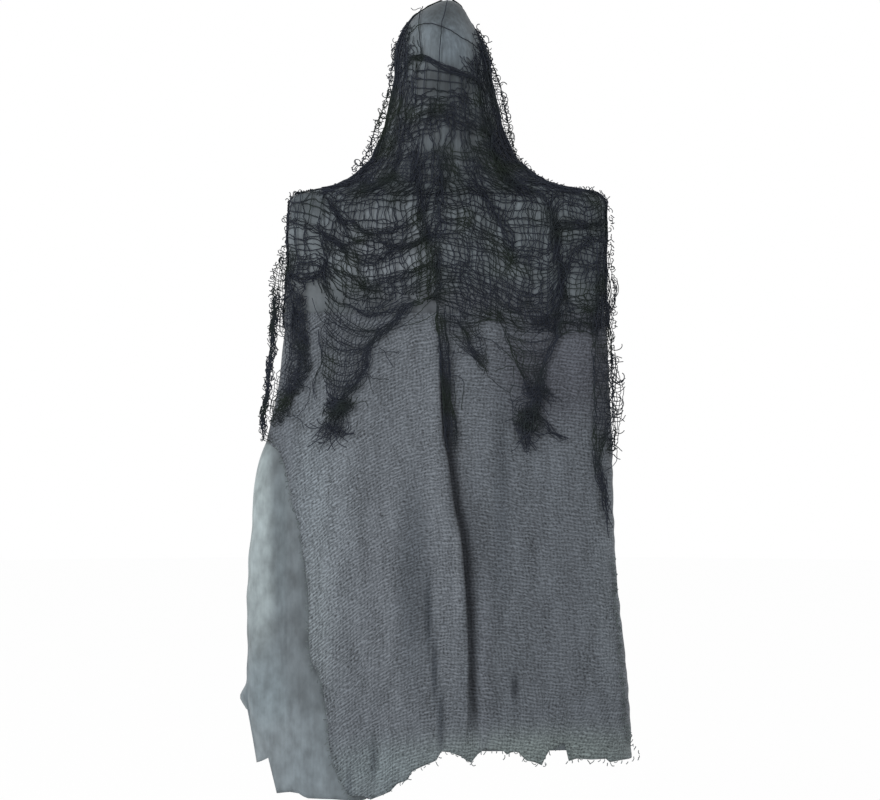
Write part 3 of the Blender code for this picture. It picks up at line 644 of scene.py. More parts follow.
PLEAT = (  # its section from left to right: (across, height), in millimetres
    (-20, 1.0), (-14, 4.0), (-9, 6.6), (-4, 8.6), (-1, 9.2), (0.6, 8.6), (0.4, 7.3), (-2, 6.4), (-6, 5.2),
    (-9.5, 3.8), (-11, 2.6), (-10, 1.6), (-6, 1.1), (-1, 1.0), (4, 1.0), (10, 0.8),
)
PLEAT_SIZES = (
    (SEAM_DROP, 0.0), (0.40, 0.6), (0.48, 0.95), (0.62, 1.2), (0.74, 1.0), (0.80, 0.6), (0.84, 0.0),
)
PLEAT_STEPS = 30
LEFT_STEPS, RIGHT_STEPS, BACK_STEPS = 46, 46, 44


def gauze_lift(x, drop, place):
    """How far the gauze lies off the liner's form, away from its pleat."""
    hang = between(SEAM_DROP, SEAM_DROP + 0.06, drop)
    folds = [(points, width / 1000, height / 1000) for points, width, height in GAUZE_FOLDS]
    front = relief(x, drop, folds) * (place <= 1)
    swell = 0.0016 * ripple(x, drop * 0.2, 0.07, 21) + 0.0005 * ripple(x, drop, 0.02, 22)
    back = 0.004 * np.sin(3 * math.pi * place) ** 2 * (place > 1)
    own = SEAM_OUT + hang * (GAUZE_OUT - SEAM_OUT + front + swell + back)
    return np.maximum(own, liner_lift(x, drop, place) + GAUZE_CLEAR)


def crease_x(drop):
    """Where the pleat's edge lies at a drop."""
    line = route(CREASE, 0.01)
    return np.interp(drop, line[:, 1], line[:, 0])


def pleat_size(drop):
    """How deep the pleat is at a drop: none at the seam, most at two thirds, none near the hem."""
    return smooth(PLEAT_SIZES, drop)


def gauze_hem(x, place):
    """Drop of the ragged hem."""
    seen = nearer(np.array(GAUZE_HEM, float) / 1000)
    ragged = np.interp(x, seen[:, 0], seen[:, 1])
    back = ROBE_LENGTH - GAUZE_BACK_HEM - 0.005 * np.sin(9 * math.pi * place) ** 2
    back = back - 0.004 * ripple(place, place, 0.03, 31)
    turn = between(1.0, 1.06, place)
    return ragged * (1 - turn) + back * turn


GAUZE_ROWS = 150
steps = LEFT_STEPS + PLEAT_STEPS + RIGHT_STEPS + BACK_STEPS
gauze, across, down = new_grid("gauze_skirt", steps, GAUZE_ROWS)
column = np.rint(across * steps)
rows = np.rint(down * GAUZE_ROWS).astype(int)
base = SEAM_DROP + down * (ROBE_LENGTH - SEAM_DROP)
pleat = np.array(PLEAT) / 1000
beside = np.interp(column - LEFT_STEPS, np.linspace(0, PLEAT_STEPS, len(PLEAT)), pleat[:, 0])
height = np.interp(column - LEFT_STEPS, np.linspace(0, PLEAT_STEPS, len(PLEAT)), pleat[:, 1])


def gauze_columns(drop):
    """Place and lift of every vertex of the skirt at its drop."""
    edge = route(GAUZE_EDGE, 0.01)
    slit = between(SLIT_DROP - 0.01, SLIT_DROP + 0.02, drop)
    edge_place, _ = place_at(np.interp(drop, edge[:, 1], edge[:, 0]), drop)
    edge_place = edge_place * slit
    middle, size = crease_x(drop), pleat_size(drop)
    even = pleat[0, 0] + (pleat[-1, 0] - pleat[0, 0]) * (column - LEFT_STEPS) / PLEAT_STEPS
    held = np.clip(size, 0, 1)
    in_pleat = middle + even * (1 - held) + beside * size + even * np.clip(held - size, 0, 1)
    in_pleat, _ = place_at(in_pleat, drop)
    pleat_left, _ = place_at(middle + pleat[0, 0] * ((1 - held) + size), drop)
    pleat_right, _ = place_at(middle + pleat[-1, 0] * ((1 - held) + size), drop)
    left = edge_place + (pleat_left - edge_place) * column / LEFT_STEPS
    after = column - LEFT_STEPS - PLEAT_STEPS
    right = pleat_right + (1 - pleat_right) * after / RIGHT_STEPS
    back = 1 + (after - RIGHT_STEPS) / BACK_STEPS * (1 - 0.05 * slit)
    in_left, in_right = column < LEFT_STEPS, (after >= 0) & (after < RIGHT_STEPS)
    place = np.where(in_left, left, np.where(after < 0, in_pleat, np.where(in_right, right, back)))
    in_fold = (column >= LEFT_STEPS) & (after < 0)
    return place, np.where(in_fold, height * size, 0.0)


place, raised = gauze_columns(base)
hem_level = np.full_like(base, ROBE_LENGTH - GAUZE_BACK_HEM)
hem_place, _ = gauze_columns(hem_level)
hem = gauze_hem(across_at(hem_level, hem_place), hem_place)
drop = base + (hem - ROBE_LENGTH) * between(0.72, ROBE_LENGTH, base)
place, raised = gauze_columns(drop)
x = across_at(drop, place)
points = on_form(drop, place, gauze_lift(x, drop, place) + raised)


def rib_slope(x, drop):
    """How much higher the ribs lie across the cloth: they rise to the right on the left half."""
    on_left = np.minimum(x, 0)
    bent = on_left + 0.075 * (1 - np.exp(on_left / 0.075))
    left = 0.85 * bent * (1 + 0.15 * between(0.50, 0.75, drop))
    return left - 0.12 * np.maximum(x - 0.03, 0)


def set_cloth_uv(made, across, along):
    """Keeps cloth coordinates in metres as the piece's UV map."""
    mesh = made.data
    layer = mesh.uv_layers.new(name="cloth")
    corner_vertex = np.zeros(len(mesh.loops), np.int32)
    mesh.loops.foreach_get("vertex_index", corner_vertex)
    layer.data.foreach_set("uv", np.stack((across, along), 1)[corner_vertex].ravel())


order = np.lexsort((column, rows))
lined = points[order].reshape(GAUZE_ROWS + 1, steps + 1, 3)
length = np.zeros((GAUZE_ROWS + 1, steps + 1))
length[:, 1:] = np.cumsum(np.linalg.norm(np.diff(lined, axis=1), axis=2), axis=1)
length -= length[:, LEFT_STEPS + PLEAT_STEPS // 3][:, None]
along_cloth = np.zeros(len(points))
along_cloth[order] = length.ravel()
set_cloth_uv(gauze, along_cloth, drop + rib_slope(np.where(place > 1, 0.2, x), drop))


# Soft patches over the gauze: its own greener tone at the hem, and painted light and shade,
# and painted light on two ridges and near the left edge, where the pale liner shows through.
# the right half painted darker, painted shade on folds, in the slot and below the net,
GAUZE_TONE_AND_PAINTED_LIGHT = (
    (-60, 620, 90, 260, "62676d"),
    (-70, 430, 60, 80, "5d6268"),
    (-128, 610, 30, 200, "6a7076"),
    (-38, 650, 20, 120, "4d5258"),
    (110, 600, 90, 200, "555a60"),
    (186, 650, 28, 140, "5f656b"),
    (110, 420, 60, 60, "484b52"),
    (160, 400, 40, 60, "4a4d54"),
    (-150, 560, 22, 90, "6d747a"),
    (-146, 700, 20, 100, "6e757a"),
    (-60, 860, 90, 34, "6b7478"),
    (110, 842, 130, 30, "6a7373"),
    (74, 765, 4, 17, "30343a"),
    (-21, 685, 4, 45, "3b4046"),
    (-14, 745, 4, 40, "3b4046"),
    (-7, 800, 4, 34, "3e4349"),
    (-81, 845, 4, 24, "52595e"),
    (-108, 872, 4, 20, "555c61"),
    (12, 590, 6, 90, "676c72"),
    (40, 740, 7, 90, "646970"),
    (60, 560, 9, 120, "4c5157"),
)
# Colour of the painted shade in the hollow beside the pleat.
PAINTED_CREASE_SHADE = "2b2e33"


def paint_crease_shade(made, x, drop):
    """Paints shade into the hollow beside the pleat, where two thicknesses lie together under its edge.
    """
    beside = (x - crease_x(drop)) * 1000
    width = 8 - 3 * between(0.60, 0.75, drop)
    hollow = np.exp(-(((beside - 5) / width) ** 2)) * between(0.37, 0.45, drop)
    soft = 0.25 * np.exp(-(((beside - 22) / 10) ** 2)) * between(0.5, 0.6, drop)
    share = hollow * (1 - between(0.78, 0.83, drop)) + soft * (1 - between(0.78, 0.84, drop))
    share = np.clip(share, 0, 1)[:, None]
    colours = np.zeros(len(x) * 4)
    layer = made.data.attributes["tone_and_painted_light"]
    layer.data.foreach_get("color", colours)
    colours = colours.reshape(-1, 4) * (1 - share) + np.array(linear(PAINTED_CREASE_SHADE)) * share
    layer.data.foreach_set("color", colours.ravel())


# Open weave: light threads lie in short dashes along the ribs, with dark gaps between them. The
# yarns are too fine to show, so their dashes are drawn 6 mm long and their fuzz 2 mm across.
gauze_cloth, tree, shader = new_finish("open_weave_gauze", linear("656b71"), 0.9)
shader.inputs["Sheen Weight"].default_value = 0.15
shader.inputs["Specular IOR Level"].default_value = 0.2
uv = node(tree, "UVMap", uv_map="cloth").outputs[0]
place_on = node(tree, "TexCoord").outputs["Object"]
# The vertex colour holds the gauze's own tone with painted light and painted shade over it.
tone_and_painted_light = node(tree, "Attribute", attribute_name="tone_and_painted_light").outputs["Color"]
bend = spots(tree, uv, 0.02, 4.0)
shift = node(tree, "Math", {0: bend, 1: 0.009}, operation="MULTIPLY")
moved = node(tree, "CombineXYZ", {"X": shift.outputs[0], "Y": shift.outputs[0]})
cloth_place = node(tree, "VectorMath", {0: uv, 1: moved.outputs[0]}, operation="ADD").outputs[0]
WAVE_PERIOD = 0.31416  # of Blender's wave texture at scale 1
ribs = {"Vector": cloth_place, "Scale": WAVE_PERIOD / RIB_PITCH, "Distortion": 0.0}
rib = node(tree, "TexWave", ribs, bands_direction="Y").outputs["Fac"]
dashes = spots(tree, cloth_place, 0.0028, 2.0, (2.0, 0.8, 1))
gaps = {"Value": dashes, "From Min": 0.36, "From Max": 0.62, "To Min": 0.0, "To Max": 0.42}
dash = node(tree, "MapRange", gaps)
grain = spots(tree, cloth_place, 0.0019, 3.0, (1.2, 0.8, 1))
thread = node(tree, "Math", {0: rib, 1: dash.outputs[0]}, operation="MULTIPLY").outputs[0]
warp = node(tree, "TexWave", ribs, bands_direction="X").outputs["Fac"]
crossed = node(tree, "Math", {0: warp, 1: 0.13, 2: thread}, operation="MULTIPLY_ADD").outputs[0]
weave = node(tree, "Math", {0: grain, 1: 1.25, 2: crossed}, operation="MULTIPLY_ADD").outputs[0]
patch = spots(tree, place_on, 0.022, 3.0, (0.6, 1, 2.5))
level = node(tree, "Math", {0: patch, 1: 0.4, 2: weave}, operation="MULTIPLY_ADD").outputs[0]
spread = {"Value": level, "From Min": 0.60, "From Max": 1.32, "To Min": 0.24, "To Max": 1.72}
strength = node(tree, "MapRange", spread)
shade = node(tree, "VectorMath", {0: tone_and_painted_light, "Scale": strength.outputs[0]}, operation="SCALE")
tree.links.new(shade.outputs[0], shader.inputs["Base Color"])
bump = node(tree, "Bump", {"Height": weave, "Strength": 0.5, "Distance": 0.0007})
tree.links.new(bump.outputs[0], shader.inputs["Normal"])
paint_tone_and_light(gauze, np.where(place <= 1, x, 0.12), drop, "565b61", GAUZE_TONE_AND_PAINTED_LIGHT)
paint_crease_shade(gauze, np.where(place <= 1, x, 0.3), drop)
shape(gauze, points, gauze_cloth, GAUZE_THICK)
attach(gauze, "root")
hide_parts("gauze_robe")


# The gauze's torn edges: yarns come loose along the hem, down the left side and from the right
# selvage, and curl.
THREAD = 0.00045  # radius of a thread
NET_CLEAR = 0.0009  # from the cloth to the threads on it
PLEAT_STANDS = 0.0095  # how far the pleat stands off the cloth
POLE_DROP = 0.0004  # the nearest that a thread comes to the crown's top


def cloth_height(x, drop, place):
    """How far the cloth under the net stands off the form."""
    gauze_there = between(SEAM_DROP - 0.015, SEAM_DROP, drop)
    pleat_there = np.exp(-(((x - crease_x(drop) + 0.006) / 0.011) ** 2)) * pleat_size(drop) * (place <= 1)
    over = np.maximum(gauze_lift(x, drop, place) + GAUZE_THICK, 0.0025) + PLEAT_STANDS * pleat_there
    under = liner_lift(x, drop, place) + LINER_THICK
    return under + (np.maximum(over, under) - under) * gauze_there


def on_cloth(x, drop, lift):
    """Points that lie on the front of the cloth, or beside it where x is beyond its edge."""
    place, _ = place_at(x, drop)
    lifted = cloth_height(x, drop, place) + NET_CLEAR + lift
    away = on_form(drop, place, lifted) - on_form(drop, place, lifted * 0)
    under = np.maximum(drop + away[..., 2], POLE_DROP)
    place, beyond = place_at(x - away[..., 0], under)
    points = on_form(under, place, lifted)
    points[..., 0] += beyond
    return points


strands = {}  # each piece's threads: their points and radius


def keep(piece, points, radius=THREAD):
    """Adds one strand to a piece."""
    if len(points) > 1:
        strands.setdefault(piece, []).append((points, radius))


def curl(draws, x, drop, length, heading, bend, step=0.0018):
    """A loose end: it sets off one way and curls, steadily and by chance."""
    count = max(int(length / step), 3)
    turn = draws.uniform(-bend, bend) + 0.35 * bend * np.sin(np.linspace(0, draws.uniform(2, 9), count))
    angle = heading + np.cumsum(np.full(count, turn) * step)
    steps = np.stack((np.cos(angle), np.sin(angle)), 1) * step
    return np.array((x, drop)) + np.concatenate((np.zeros((1, 2)), np.cumsum(steps, axis=0)))


def rim(piece, points, spacing, reach, seed, outward, length=(0.004, 0.012), bend=420.0):
    """Loose ends and small loops that stand out from an outline."""
    draws = np.random.default_rng(seed)
    line = route(points, spacing)
    for x, drop in line:
        heading = outward + draws.uniform(-0.9, 0.9)
        start = x + draws.uniform(-0.001, 0.001)
        own = curl(draws, start, drop, draws.uniform(*length), heading, bend, 0.0012)
        gone = (own - own[0]) * reach / max(np.abs(own - own[0]).max(), reach)
        own = own[0] + gone
        keep(piece, on_cloth(own[:, 0], own[:, 1], 0.001), THREAD * draws.uniform(1.0, 1.35))


SELVAGE = ((187, 629), (188, 663), (191, 696), (194, 724), (197, 764), (200, 803), (204, 834))
rim("gauze_fray", GAUZE_HEM, 0.006, 0.005, 50, math.pi / 2, length=(0.002, 0.008), bend=500)
rim("gauze_fray", GAUZE_EDGE, 0.005, 0.004, 51, math.pi, length=(0.003, 0.008), bend=500)
rim("gauze_fray", SELVAGE, 0.0025, 0.004, 52, 0, length=(0.004, 0.014), bend=600)
triangle = bpy.data.curves.new("thread_section", "CURVE")
triangle.dimensions = "2D"
section = triangle.splines.new("POLY")
section.points.add(2)
section.use_cyclic_u = True
for number, point in enumerate(section.points):
    turn = math.tau * number / 3
    point.co = (math.cos(turn), math.sin(turn), 0, 1)
section_object = bpy.data.objects.new("thread_section", triangle)
scene.collection.objects.link(section_object)


TIP = 0.15  # a strand's pointed end, as a share of its last step


def spin_threads(name, material):
    """Makes one mesh of all strands of a piece."""
    curve = bpy.data.curves.new(name, "CURVE")
    curve.dimensions = "3D"
    curve.bevel_mode = "OBJECT"
    curve.bevel_object = section_object
    for points, radius in strands[name]:
        spline = curve.splines.new("POLY")
        tips = (points[0] + (points[0] - points[1]) * TIP, points[-1] + (points[-1] - points[-2]) * TIP)
        placed = np.ones((len(points) + 2, 4))
        placed[:, :3] = np.concatenate((tips[:1], points, tips[1:]))
        thick = np.full(len(placed), radius)
        thick[[0, -1]] = 0.0
        spline.points.add(len(placed) - 1)
        spline.points.foreach_set("co", placed.ravel())
        spline.points.foreach_set("radius", thick)
    source = bpy.data.objects.new(name + "_route", curve)
    scene.collection.objects.link(source)
    seen = source.evaluated_get(bpy.context.evaluated_depsgraph_get())
    mesh = bpy.data.meshes.new_from_object(seen)
    mesh.name = name
    bm = bmesh.new()
    bm.from_mesh(mesh)
    bmesh.ops.remove_doubles(bm, verts=bm.verts, dist=0.000001)
    bm.to_mesh(mesh)
    bm.free()
    mesh.materials.clear()
    mesh.materials.append(material)
    mesh.shade_smooth()
    made = bpy.data.objects.new(name, mesh)
    scene.collection.objects.link(made)
    bpy.data.objects.remove(source)
    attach(made, "root")
    return made


# Loose cotton yarn, matt and a little lighter or darker from one end to the next.
gauze_yarn, tree, shader = new_finish("loose_gauze_yarn", linear("5d6667"), 0.9)
shader.inputs["Specular IOR Level"].default_value = 0.2
place_on = node(tree, "TexCoord").outputs["Object"]
tone = spots(tree, place_on, 0.012, 2.0)
tree.links.new(tinted(tree, tone, "4c5355", "737d7e"), shader.inputs["Base Color"])
fray = spin_threads("gauze_fray", gauze_yarn)


# Net cape: one length of near-black cotton netting thrown over the head and shoulders. It is drawn
# together in gathers on the chest, slack on the left shoulder, thin over the crown, and torn into
# tails below, whose loose threads curl and knot.
LAYER_STEP = 0.0011  # from one thickness of net to the next
NET_LENGTH, NET_BACK_EDGE = 0.40, 0.372  # down from the crown
FRONT_WIDTH = 0.40  # about what the form measures across its front
STEP = 0.003  # along a thread
ROW_PITCH = 0.0047  # from one thread round the figure to the next
WARPS = 160  # round the whole figure
SHORTEST = 9  # fewer steps than this leave no thread
SLACK_WAVES = ((0.0012, 0.015, 1), (0.0006, 0.006, 3), (0.0030, 0.045, 5))  # (height, length, seed)
ROW_LENGTHS = np.linalg.norm(np.diff(FORM[:, : HALF + 1], axis=1), axis=2).sum(1)
CROWN_THREADS = (
    ((0, 0), (-2, 12), (-6, 27), (-7, 42), (-8, 53), (-9, 70)),
    ((-27, 6), (-30, 13), (-32, 27), (-31, 42), (-30, 51), (-28, 62)),
    ((-44, 39), (-37, 33), (-32, 28), (-20, 26), (-8, 29), (4, 34), (16, 42), (27, 48), (37, 57)),
    ((-34, 79), (-20, 78), (-8, 80), (9, 83), (19, 89)),
    ((-37, 88), (-18, 89), (0, 91), (17, 93)),
    ((-38, 98), (-20, 99), (-8, 101), (11, 104)),
    ((-24, 65), (-25, 80), (-26, 96), (-26, 110)),
    ((-10, 69), (-10, 82), (-11, 98), (-11, 110)),
    ((4, 75), (3, 89), (4, 102), (3, 109)),
    ((16, 81), (16, 94), (17, 107)),
    ((-35, 71), (-35, 89), (-36, 109), (-37, 132)),
    ((-29, 110), (-29, 123), (-30, 136)),
    ((-19, 109), (-19, 123), (-20, 138)),
    ((-9, 110), (-9, 125), (-8, 143)),
    ((0, 109), (0, 125), (2, 143)),
    ((12, 108), (18, 118), (20, 132)),
    ((-35, 118), (-19, 116), (-2, 117), (12, 120)),
)
CROWN_BUNDLES = (
    (
        (-53, 82), (-46, 71), (-38, 63), (-30, 62), (-20, 65), (-8, 71), (6, 76), (18, 82), (32, 87),
        (40, 98), (48, 109),
    ),
    ((-48, 75), (-39, 66), (-28, 66), (-16, 71), (-2, 78), (9, 82), (24, 86), (35, 93)),
    (
        (-44, 111), (-35, 108), (-26, 108), (-15, 110), (-8, 110), (3, 108), (15, 107), (24, 112),
        (33, 123),
    ),
    (
        (-51, 150), (-44, 141), (-34, 129), (-20, 124), (-8, 124), (6, 126), (18, 133), (32, 140),
        (45, 148),
    ),
    ((-48, 156), (-38, 143), (-26, 134), (-10, 130), (6, 133), (21, 143), (37, 156)),
)
HOOD_RINGS = (
    (44, 56, 1.8, 2.2), (49, 66, 1.8, 2.5), (57, 87, 3.1, 3.6), (55, 97, 2.2, 3.4),
    (63, 110, 2.9, 3.6), (60, 119, 2.5, 3.4), (64, 129, 3.3, 5.2), (67, 145, 3.8, 4.3),
    (73, 154, 2.9, 6.3), (69, 165, 2.7, 3.8), (75, 174, 2.5, 2.9), (-63, 88, 2.0, 2.9),
    (-58, 59, 2.0, 2.7), (-65, 106, 1.7, 3.4), (-83, 167, 2.5, 3.6),
)
LEFT_SHOULDER = (
    ((-163, 216), (-164, 220), (-167, 234), (-169, 248)),
    ((-151, 215), (-152, 222), (-154, 234), (-156, 250)),
    ((-139, 217), (-140, 222), (-142, 236), (-144, 256)),
    ((-174, 223), (-176, 236), (-178, 248)),
    ((-178, 227), (-166, 227), (-156, 229), (-142, 234), (-132, 241)),
    ((-178, 237), (-165, 238), (-153, 241), (-142, 245)),
    ((-159, 249), (-160, 260), (-159, 271), (-154, 282)),
    ((-169, 249), (-170, 262), (-169, 278), (-165, 294)),
    ((-161, 268), (-152, 265), (-142, 265)),
    ((-177, 264), (-169, 268), (-161, 270)),
    ((-178, 277), (-166, 280), (-155, 281), (-142, 279), (-132, 276)),
    ((-178, 291), (-165, 295), (-152, 294), (-140, 288)),
    ((-145, 256), (-143, 267), (-140, 278), (-136, 289)),
    ((-180, 260), (-179, 276), (-180, 294), (-181, 309)),
)
LEFT_GATHERS = (
    (
        (-181, 248), (-170, 249), (-160, 252), (-151, 254), (-144, 258), (-137, 263), (-127, 269),
        (-115, 282),
    ),
    (
        (-141, 224), (-133, 230), (-126, 239), (-109, 249), (-96, 258), (-79, 260), (-57, 255),
        (-39, 249),
    ),
    ((-127, 231), (-123, 244), (-115, 256), (-104, 270), (-88, 267), (-70, 260), (-48, 255)),
    (
        (-137, 262), (-128, 271), (-116, 280), (-101, 292), (-88, 292), (-65, 286), (-42, 276),
        (-21, 269),
    ),
    ((-180, 307), (-173, 311), (-160, 314), (-149, 309), (-140, 298), (-135, 285)),
    ((-136, 294), (-125, 303), (-109, 310), (-86, 322), (-70, 315), (-44, 305), (-17, 294)),
    (
        (-137, 300), (-137, 314), (-133, 330), (-119, 340), (-104, 345), (-88, 353), (-70, 350),
        (-44, 340), (-27, 336), (-10, 331),
    ),
    ((-84, 264), (-64, 276), (-39, 273), (-19, 262)),
)
CHEST_GATHERS = (
    ((-35, 154), (-34, 179), (-33, 207), (-30, 230), (-26, 253), (-21, 276)),
    ((-7, 168), (-7, 213), (-8, 258), (-10, 294), (-11, 336)),
    ((51, 150), (53, 168), (60, 188), (73, 206), (93, 219)),
    ((111, 206), (114, 220), (116, 239), (120, 255), (124, 280), (129, 307), (132, 339)),
    ((119, 255), (130, 252), (145, 249), (160, 252), (173, 250)),
    ((127, 305), (141, 296), (147, 282), (158, 272), (173, 269)),
    ((26, 208), (44, 224), (57, 244), (69, 269), (75, 294)),
)
LOWER_EDGE_ROPES = (
    (
        (-10, 360), (11, 363), (30, 363), (46, 360), (61, 359), (68, 363), (86, 368), (109, 367),
        (123, 377),
    ),
    ((123, 378), (139, 372), (154, 372), (168, 378)),
    ((123, 364), (144, 360), (162, 364)),
    ((134, 349), (148, 346), (163, 348)),
    ((-120, 340), (-104, 346), (-88, 353), (-70, 350), (-46, 341)),
)
NET_EDGE = (
    (-201, 327), (-181, 326), (-165, 327), (-136, 336), (-115, 345), (-87, 356), (-53, 353),
    (-15, 338), (-1, 357), (30, 361), (61, 360), (87, 370), (123, 376), (150, 375), (172, 378),
    (186, 380),
)
WORN_THIN = (  # (middle, half size, share of its threads gone), in millimetres
    ((-2, 31), (40, 46), 1.0),
    ((-8, 90), (26, 29), 0.9),
    ((-157, 231), (22, 19), 0.8),
    ((-158, 268), (20, 20), 0.55),
    ((148, 318), (18, 34), 0.36),
    ((-118, 335), (22, 20), 0.35),
    ((-160, 345), (20, 26), 0.75),
    ((-40, 345), (26, 12), 0.5),
)


def spot(x, drop, middle, size, soft=0.25):
    """1 inside an ellipse given in millimetres, and 0 outside it, with a soft edge."""
    far = np.hypot((x * 1000 - middle[0]) / size[0], (drop * 1000 - middle[1]) / size[1])
    return 1 - between(1 - soft, 1 + soft, far)


def how_dense(x, drop, place):
    """Share of its threads that the net still has at a place."""
    front = place <= 1
    from_edge = np.minimum(np.abs(place - 1), 2 - place)
    dense = np.where(front, 1.0, 0.62 + 0.38 * np.exp(-((from_edge / 0.16) ** 2)))
    side = between(0.025, 0.045, np.abs(x + 0.004))
    dense = dense * (1 - 0.45 * (1 - between(0.16, 0.21, drop)) * (1 - 0.8 * side))
    for middle, size, amount in WORN_THIN:
        dense = dense * (1 - amount * spot(x, drop, middle, size) * front)
    edge = route(NET_EDGE, 0.01)
    end = np.where(front, np.interp(x, edge[:, 0], edge[:, 1]), NET_BACK_EDGE)
    ragged = 0.004 * ripple(place * 3, drop, 0.04, 41)
    left_over = end + ragged - drop
    return dense * (left_over > 0) * (0.5 + 0.5 * between(0, 0.016, left_over))


def slack(x, drop, place):
    """How far the net's rows hang below level: arcs on the hood and swags on the chest."""
    front = (place <= 1) * 1.0
    hood = between(0.07, 0.12, drop) * (1 - between(0.17, 0.22, drop))
    arc = 0.020 * np.minimum((x / 0.05) ** 2, 1.4) * hood
    left = np.clip((x + 0.150) / 0.135, 0, 1)
    right = between(0.0, 0.10, x) * (1 - between(0.110, 0.128, x))
    chest = between(0.20, 0.25, drop)
    swags = 0.030 * np.sin(math.pi * left) + 0.034 * right
    return arc + chest * swags * front


GATHERS = [route(points, 0.004) for points in LEFT_GATHERS + CHEST_GATHERS]
PULL_WIDTH = 0.012  # how far a gather reaches
PULL = 0.55  # the share of the way that it draws a thread


def pulled(x, drop, place):
    """Movement of the net towards its gathers, across and down."""
    move = np.zeros((*x.shape, 2))
    for line in GATHERS:
        vector, _ = to_line(x, drop, line)
        far = np.hypot(vector[..., 0], vector[..., 1])
        move += vector * (PULL * np.exp(-((far / PULL_WIDTH) ** 2)))[..., None]
    return move * (place <= 1)[..., None]


def lay(piece, place, drop, owner, need, lift, seed):
    """Lays a layer's threads: they wave, hang and gather, and end where the net is torn away."""
    draws = np.random.default_rng(seed)
    x = across_at(drop, place)
    drop = drop + slack(x, drop, place)
    length = np.interp(row_of(drop), np.arange(len(DROPS)), ROW_LENGTHS)
    wave = 0.0
    for height, long, first in SLACK_WAVES:
        both_ways = [ripple(place * FRONT_WIDTH, drop, long, seed + k) for k in (first, first + 1)]
        wave = wave + height * np.stack(both_ways, 1)
    phase = draws.uniform(0, math.tau, owner.max() + 1)[owner]
    own = 0.0004 * np.sin(math.tau * (place * length + drop) / 0.011 + phase)
    move = pulled(across_at(drop, place), drop, place) + wave + own[:, None]
    crown = between(0.0, 0.04, drop)
    place = place + move[:, 0] * crown / length
    drop = np.clip(drop + move[:, 1] * crown, POLE_DROP, None)
    x = across_at(drop, place)
    shown = how_dense(x, drop, place % 2) > need[owner]
    over = lift + 0.0003 * np.sin(phase + drop * 900)
    points = on_form(drop, place, cloth_height(x, drop, place % 2) + NET_CLEAR + over)
    breaks = np.flatnonzero((np.diff(owner) != 0) | (np.diff(shown.astype(int)) != 0)) + 1
    for part in np.split(np.arange(len(owner)), breaks):
        if shown[part[0]] and len(part) > SHORTEST:
            keep(piece, points[part], THREAD * 1.2)


def layer(piece, seed, lift, sides, thin, rows_from):
    """One thickness of net: warps from the crown down, and wefts round it."""
    draws = np.random.default_rng(seed)
    count = int(WARPS * sides / 2)
    drop = np.arange(0.001, NET_LENGTH, STEP)
    start = (np.arange(count) + draws.uniform(-0.3, 0.3, count)) * sides / count
    owner = np.repeat(np.arange(count), len(drop))
    need = draws.uniform(0, 1, count) + thin
    lay(piece, start[owner], np.tile(drop, count), owner, need, lift, seed + 10)
    place = np.linspace(0, sides, int(FRONT_WIDTH * sides / STEP))
    row = np.arange(rows_from, NET_LENGTH, ROW_PITCH)
    row = row + draws.uniform(-0.001, 0.001, len(row))
    owner = np.repeat(np.arange(len(row)), len(place))
    need = draws.uniform(0, 0.9, len(row)) + thin
    lay(piece, np.tile(place, len(row)), row[owner], owner, need, lift, seed + 20)


layer("net_cape_threads", 100, 0.0, 2, 0.0, 0.055)
layer("net_second_layer", 200, LAYER_STEP, 2, 0.35, 0.13)


def wavy(line, draws, amount, wave=0.012):
    """A route with its own soft waves."""
    length = np.concatenate(([0], np.cumsum(np.hypot(*np.diff(line, axis=0).T))))
    waves = draws.uniform(0.6, 1.6, (2, 2)) / wave * math.tau
    phases = draws.uniform(0, math.tau, (2, 2))
    swing = [sum(np.sin(length * waves[i, k] + phases[i, k]) for k in (0, 1)) / 2 for i in (0, 1)]
    return line + amount * np.stack(swing, axis=1)


def single(piece, points, seed, lift=0.002, amount=0.0005, radius=THREAD):
    """One thread along a route in millimetres."""
    line = wavy(route(points), np.random.default_rng(seed), amount)
    keep(piece, on_cloth(line[:, 0], line[:, 1], lift), radius)


def rope(piece, points, seed, count, spread, lift=0.002):
    """A gather: threads drawn together along a route, some of which stray at its ends."""
    draws = np.random.default_rng(seed)
    line = route(points)
    for _ in range(count):
        ends = draws.integers(0, max(len(line) // 6, 1), 2)
        own = wavy(line[ends[0] : len(line) - ends[1]], draws, spread, 0.03)
        own = own + draws.uniform(-spread, spread, 2) * 0.7
        placed = on_cloth(own[:, 0], own[:, 1], lift + draws.uniform(0, 0.0016))
        keep(piece, placed, THREAD * draws.uniform(0.8, 1.25))


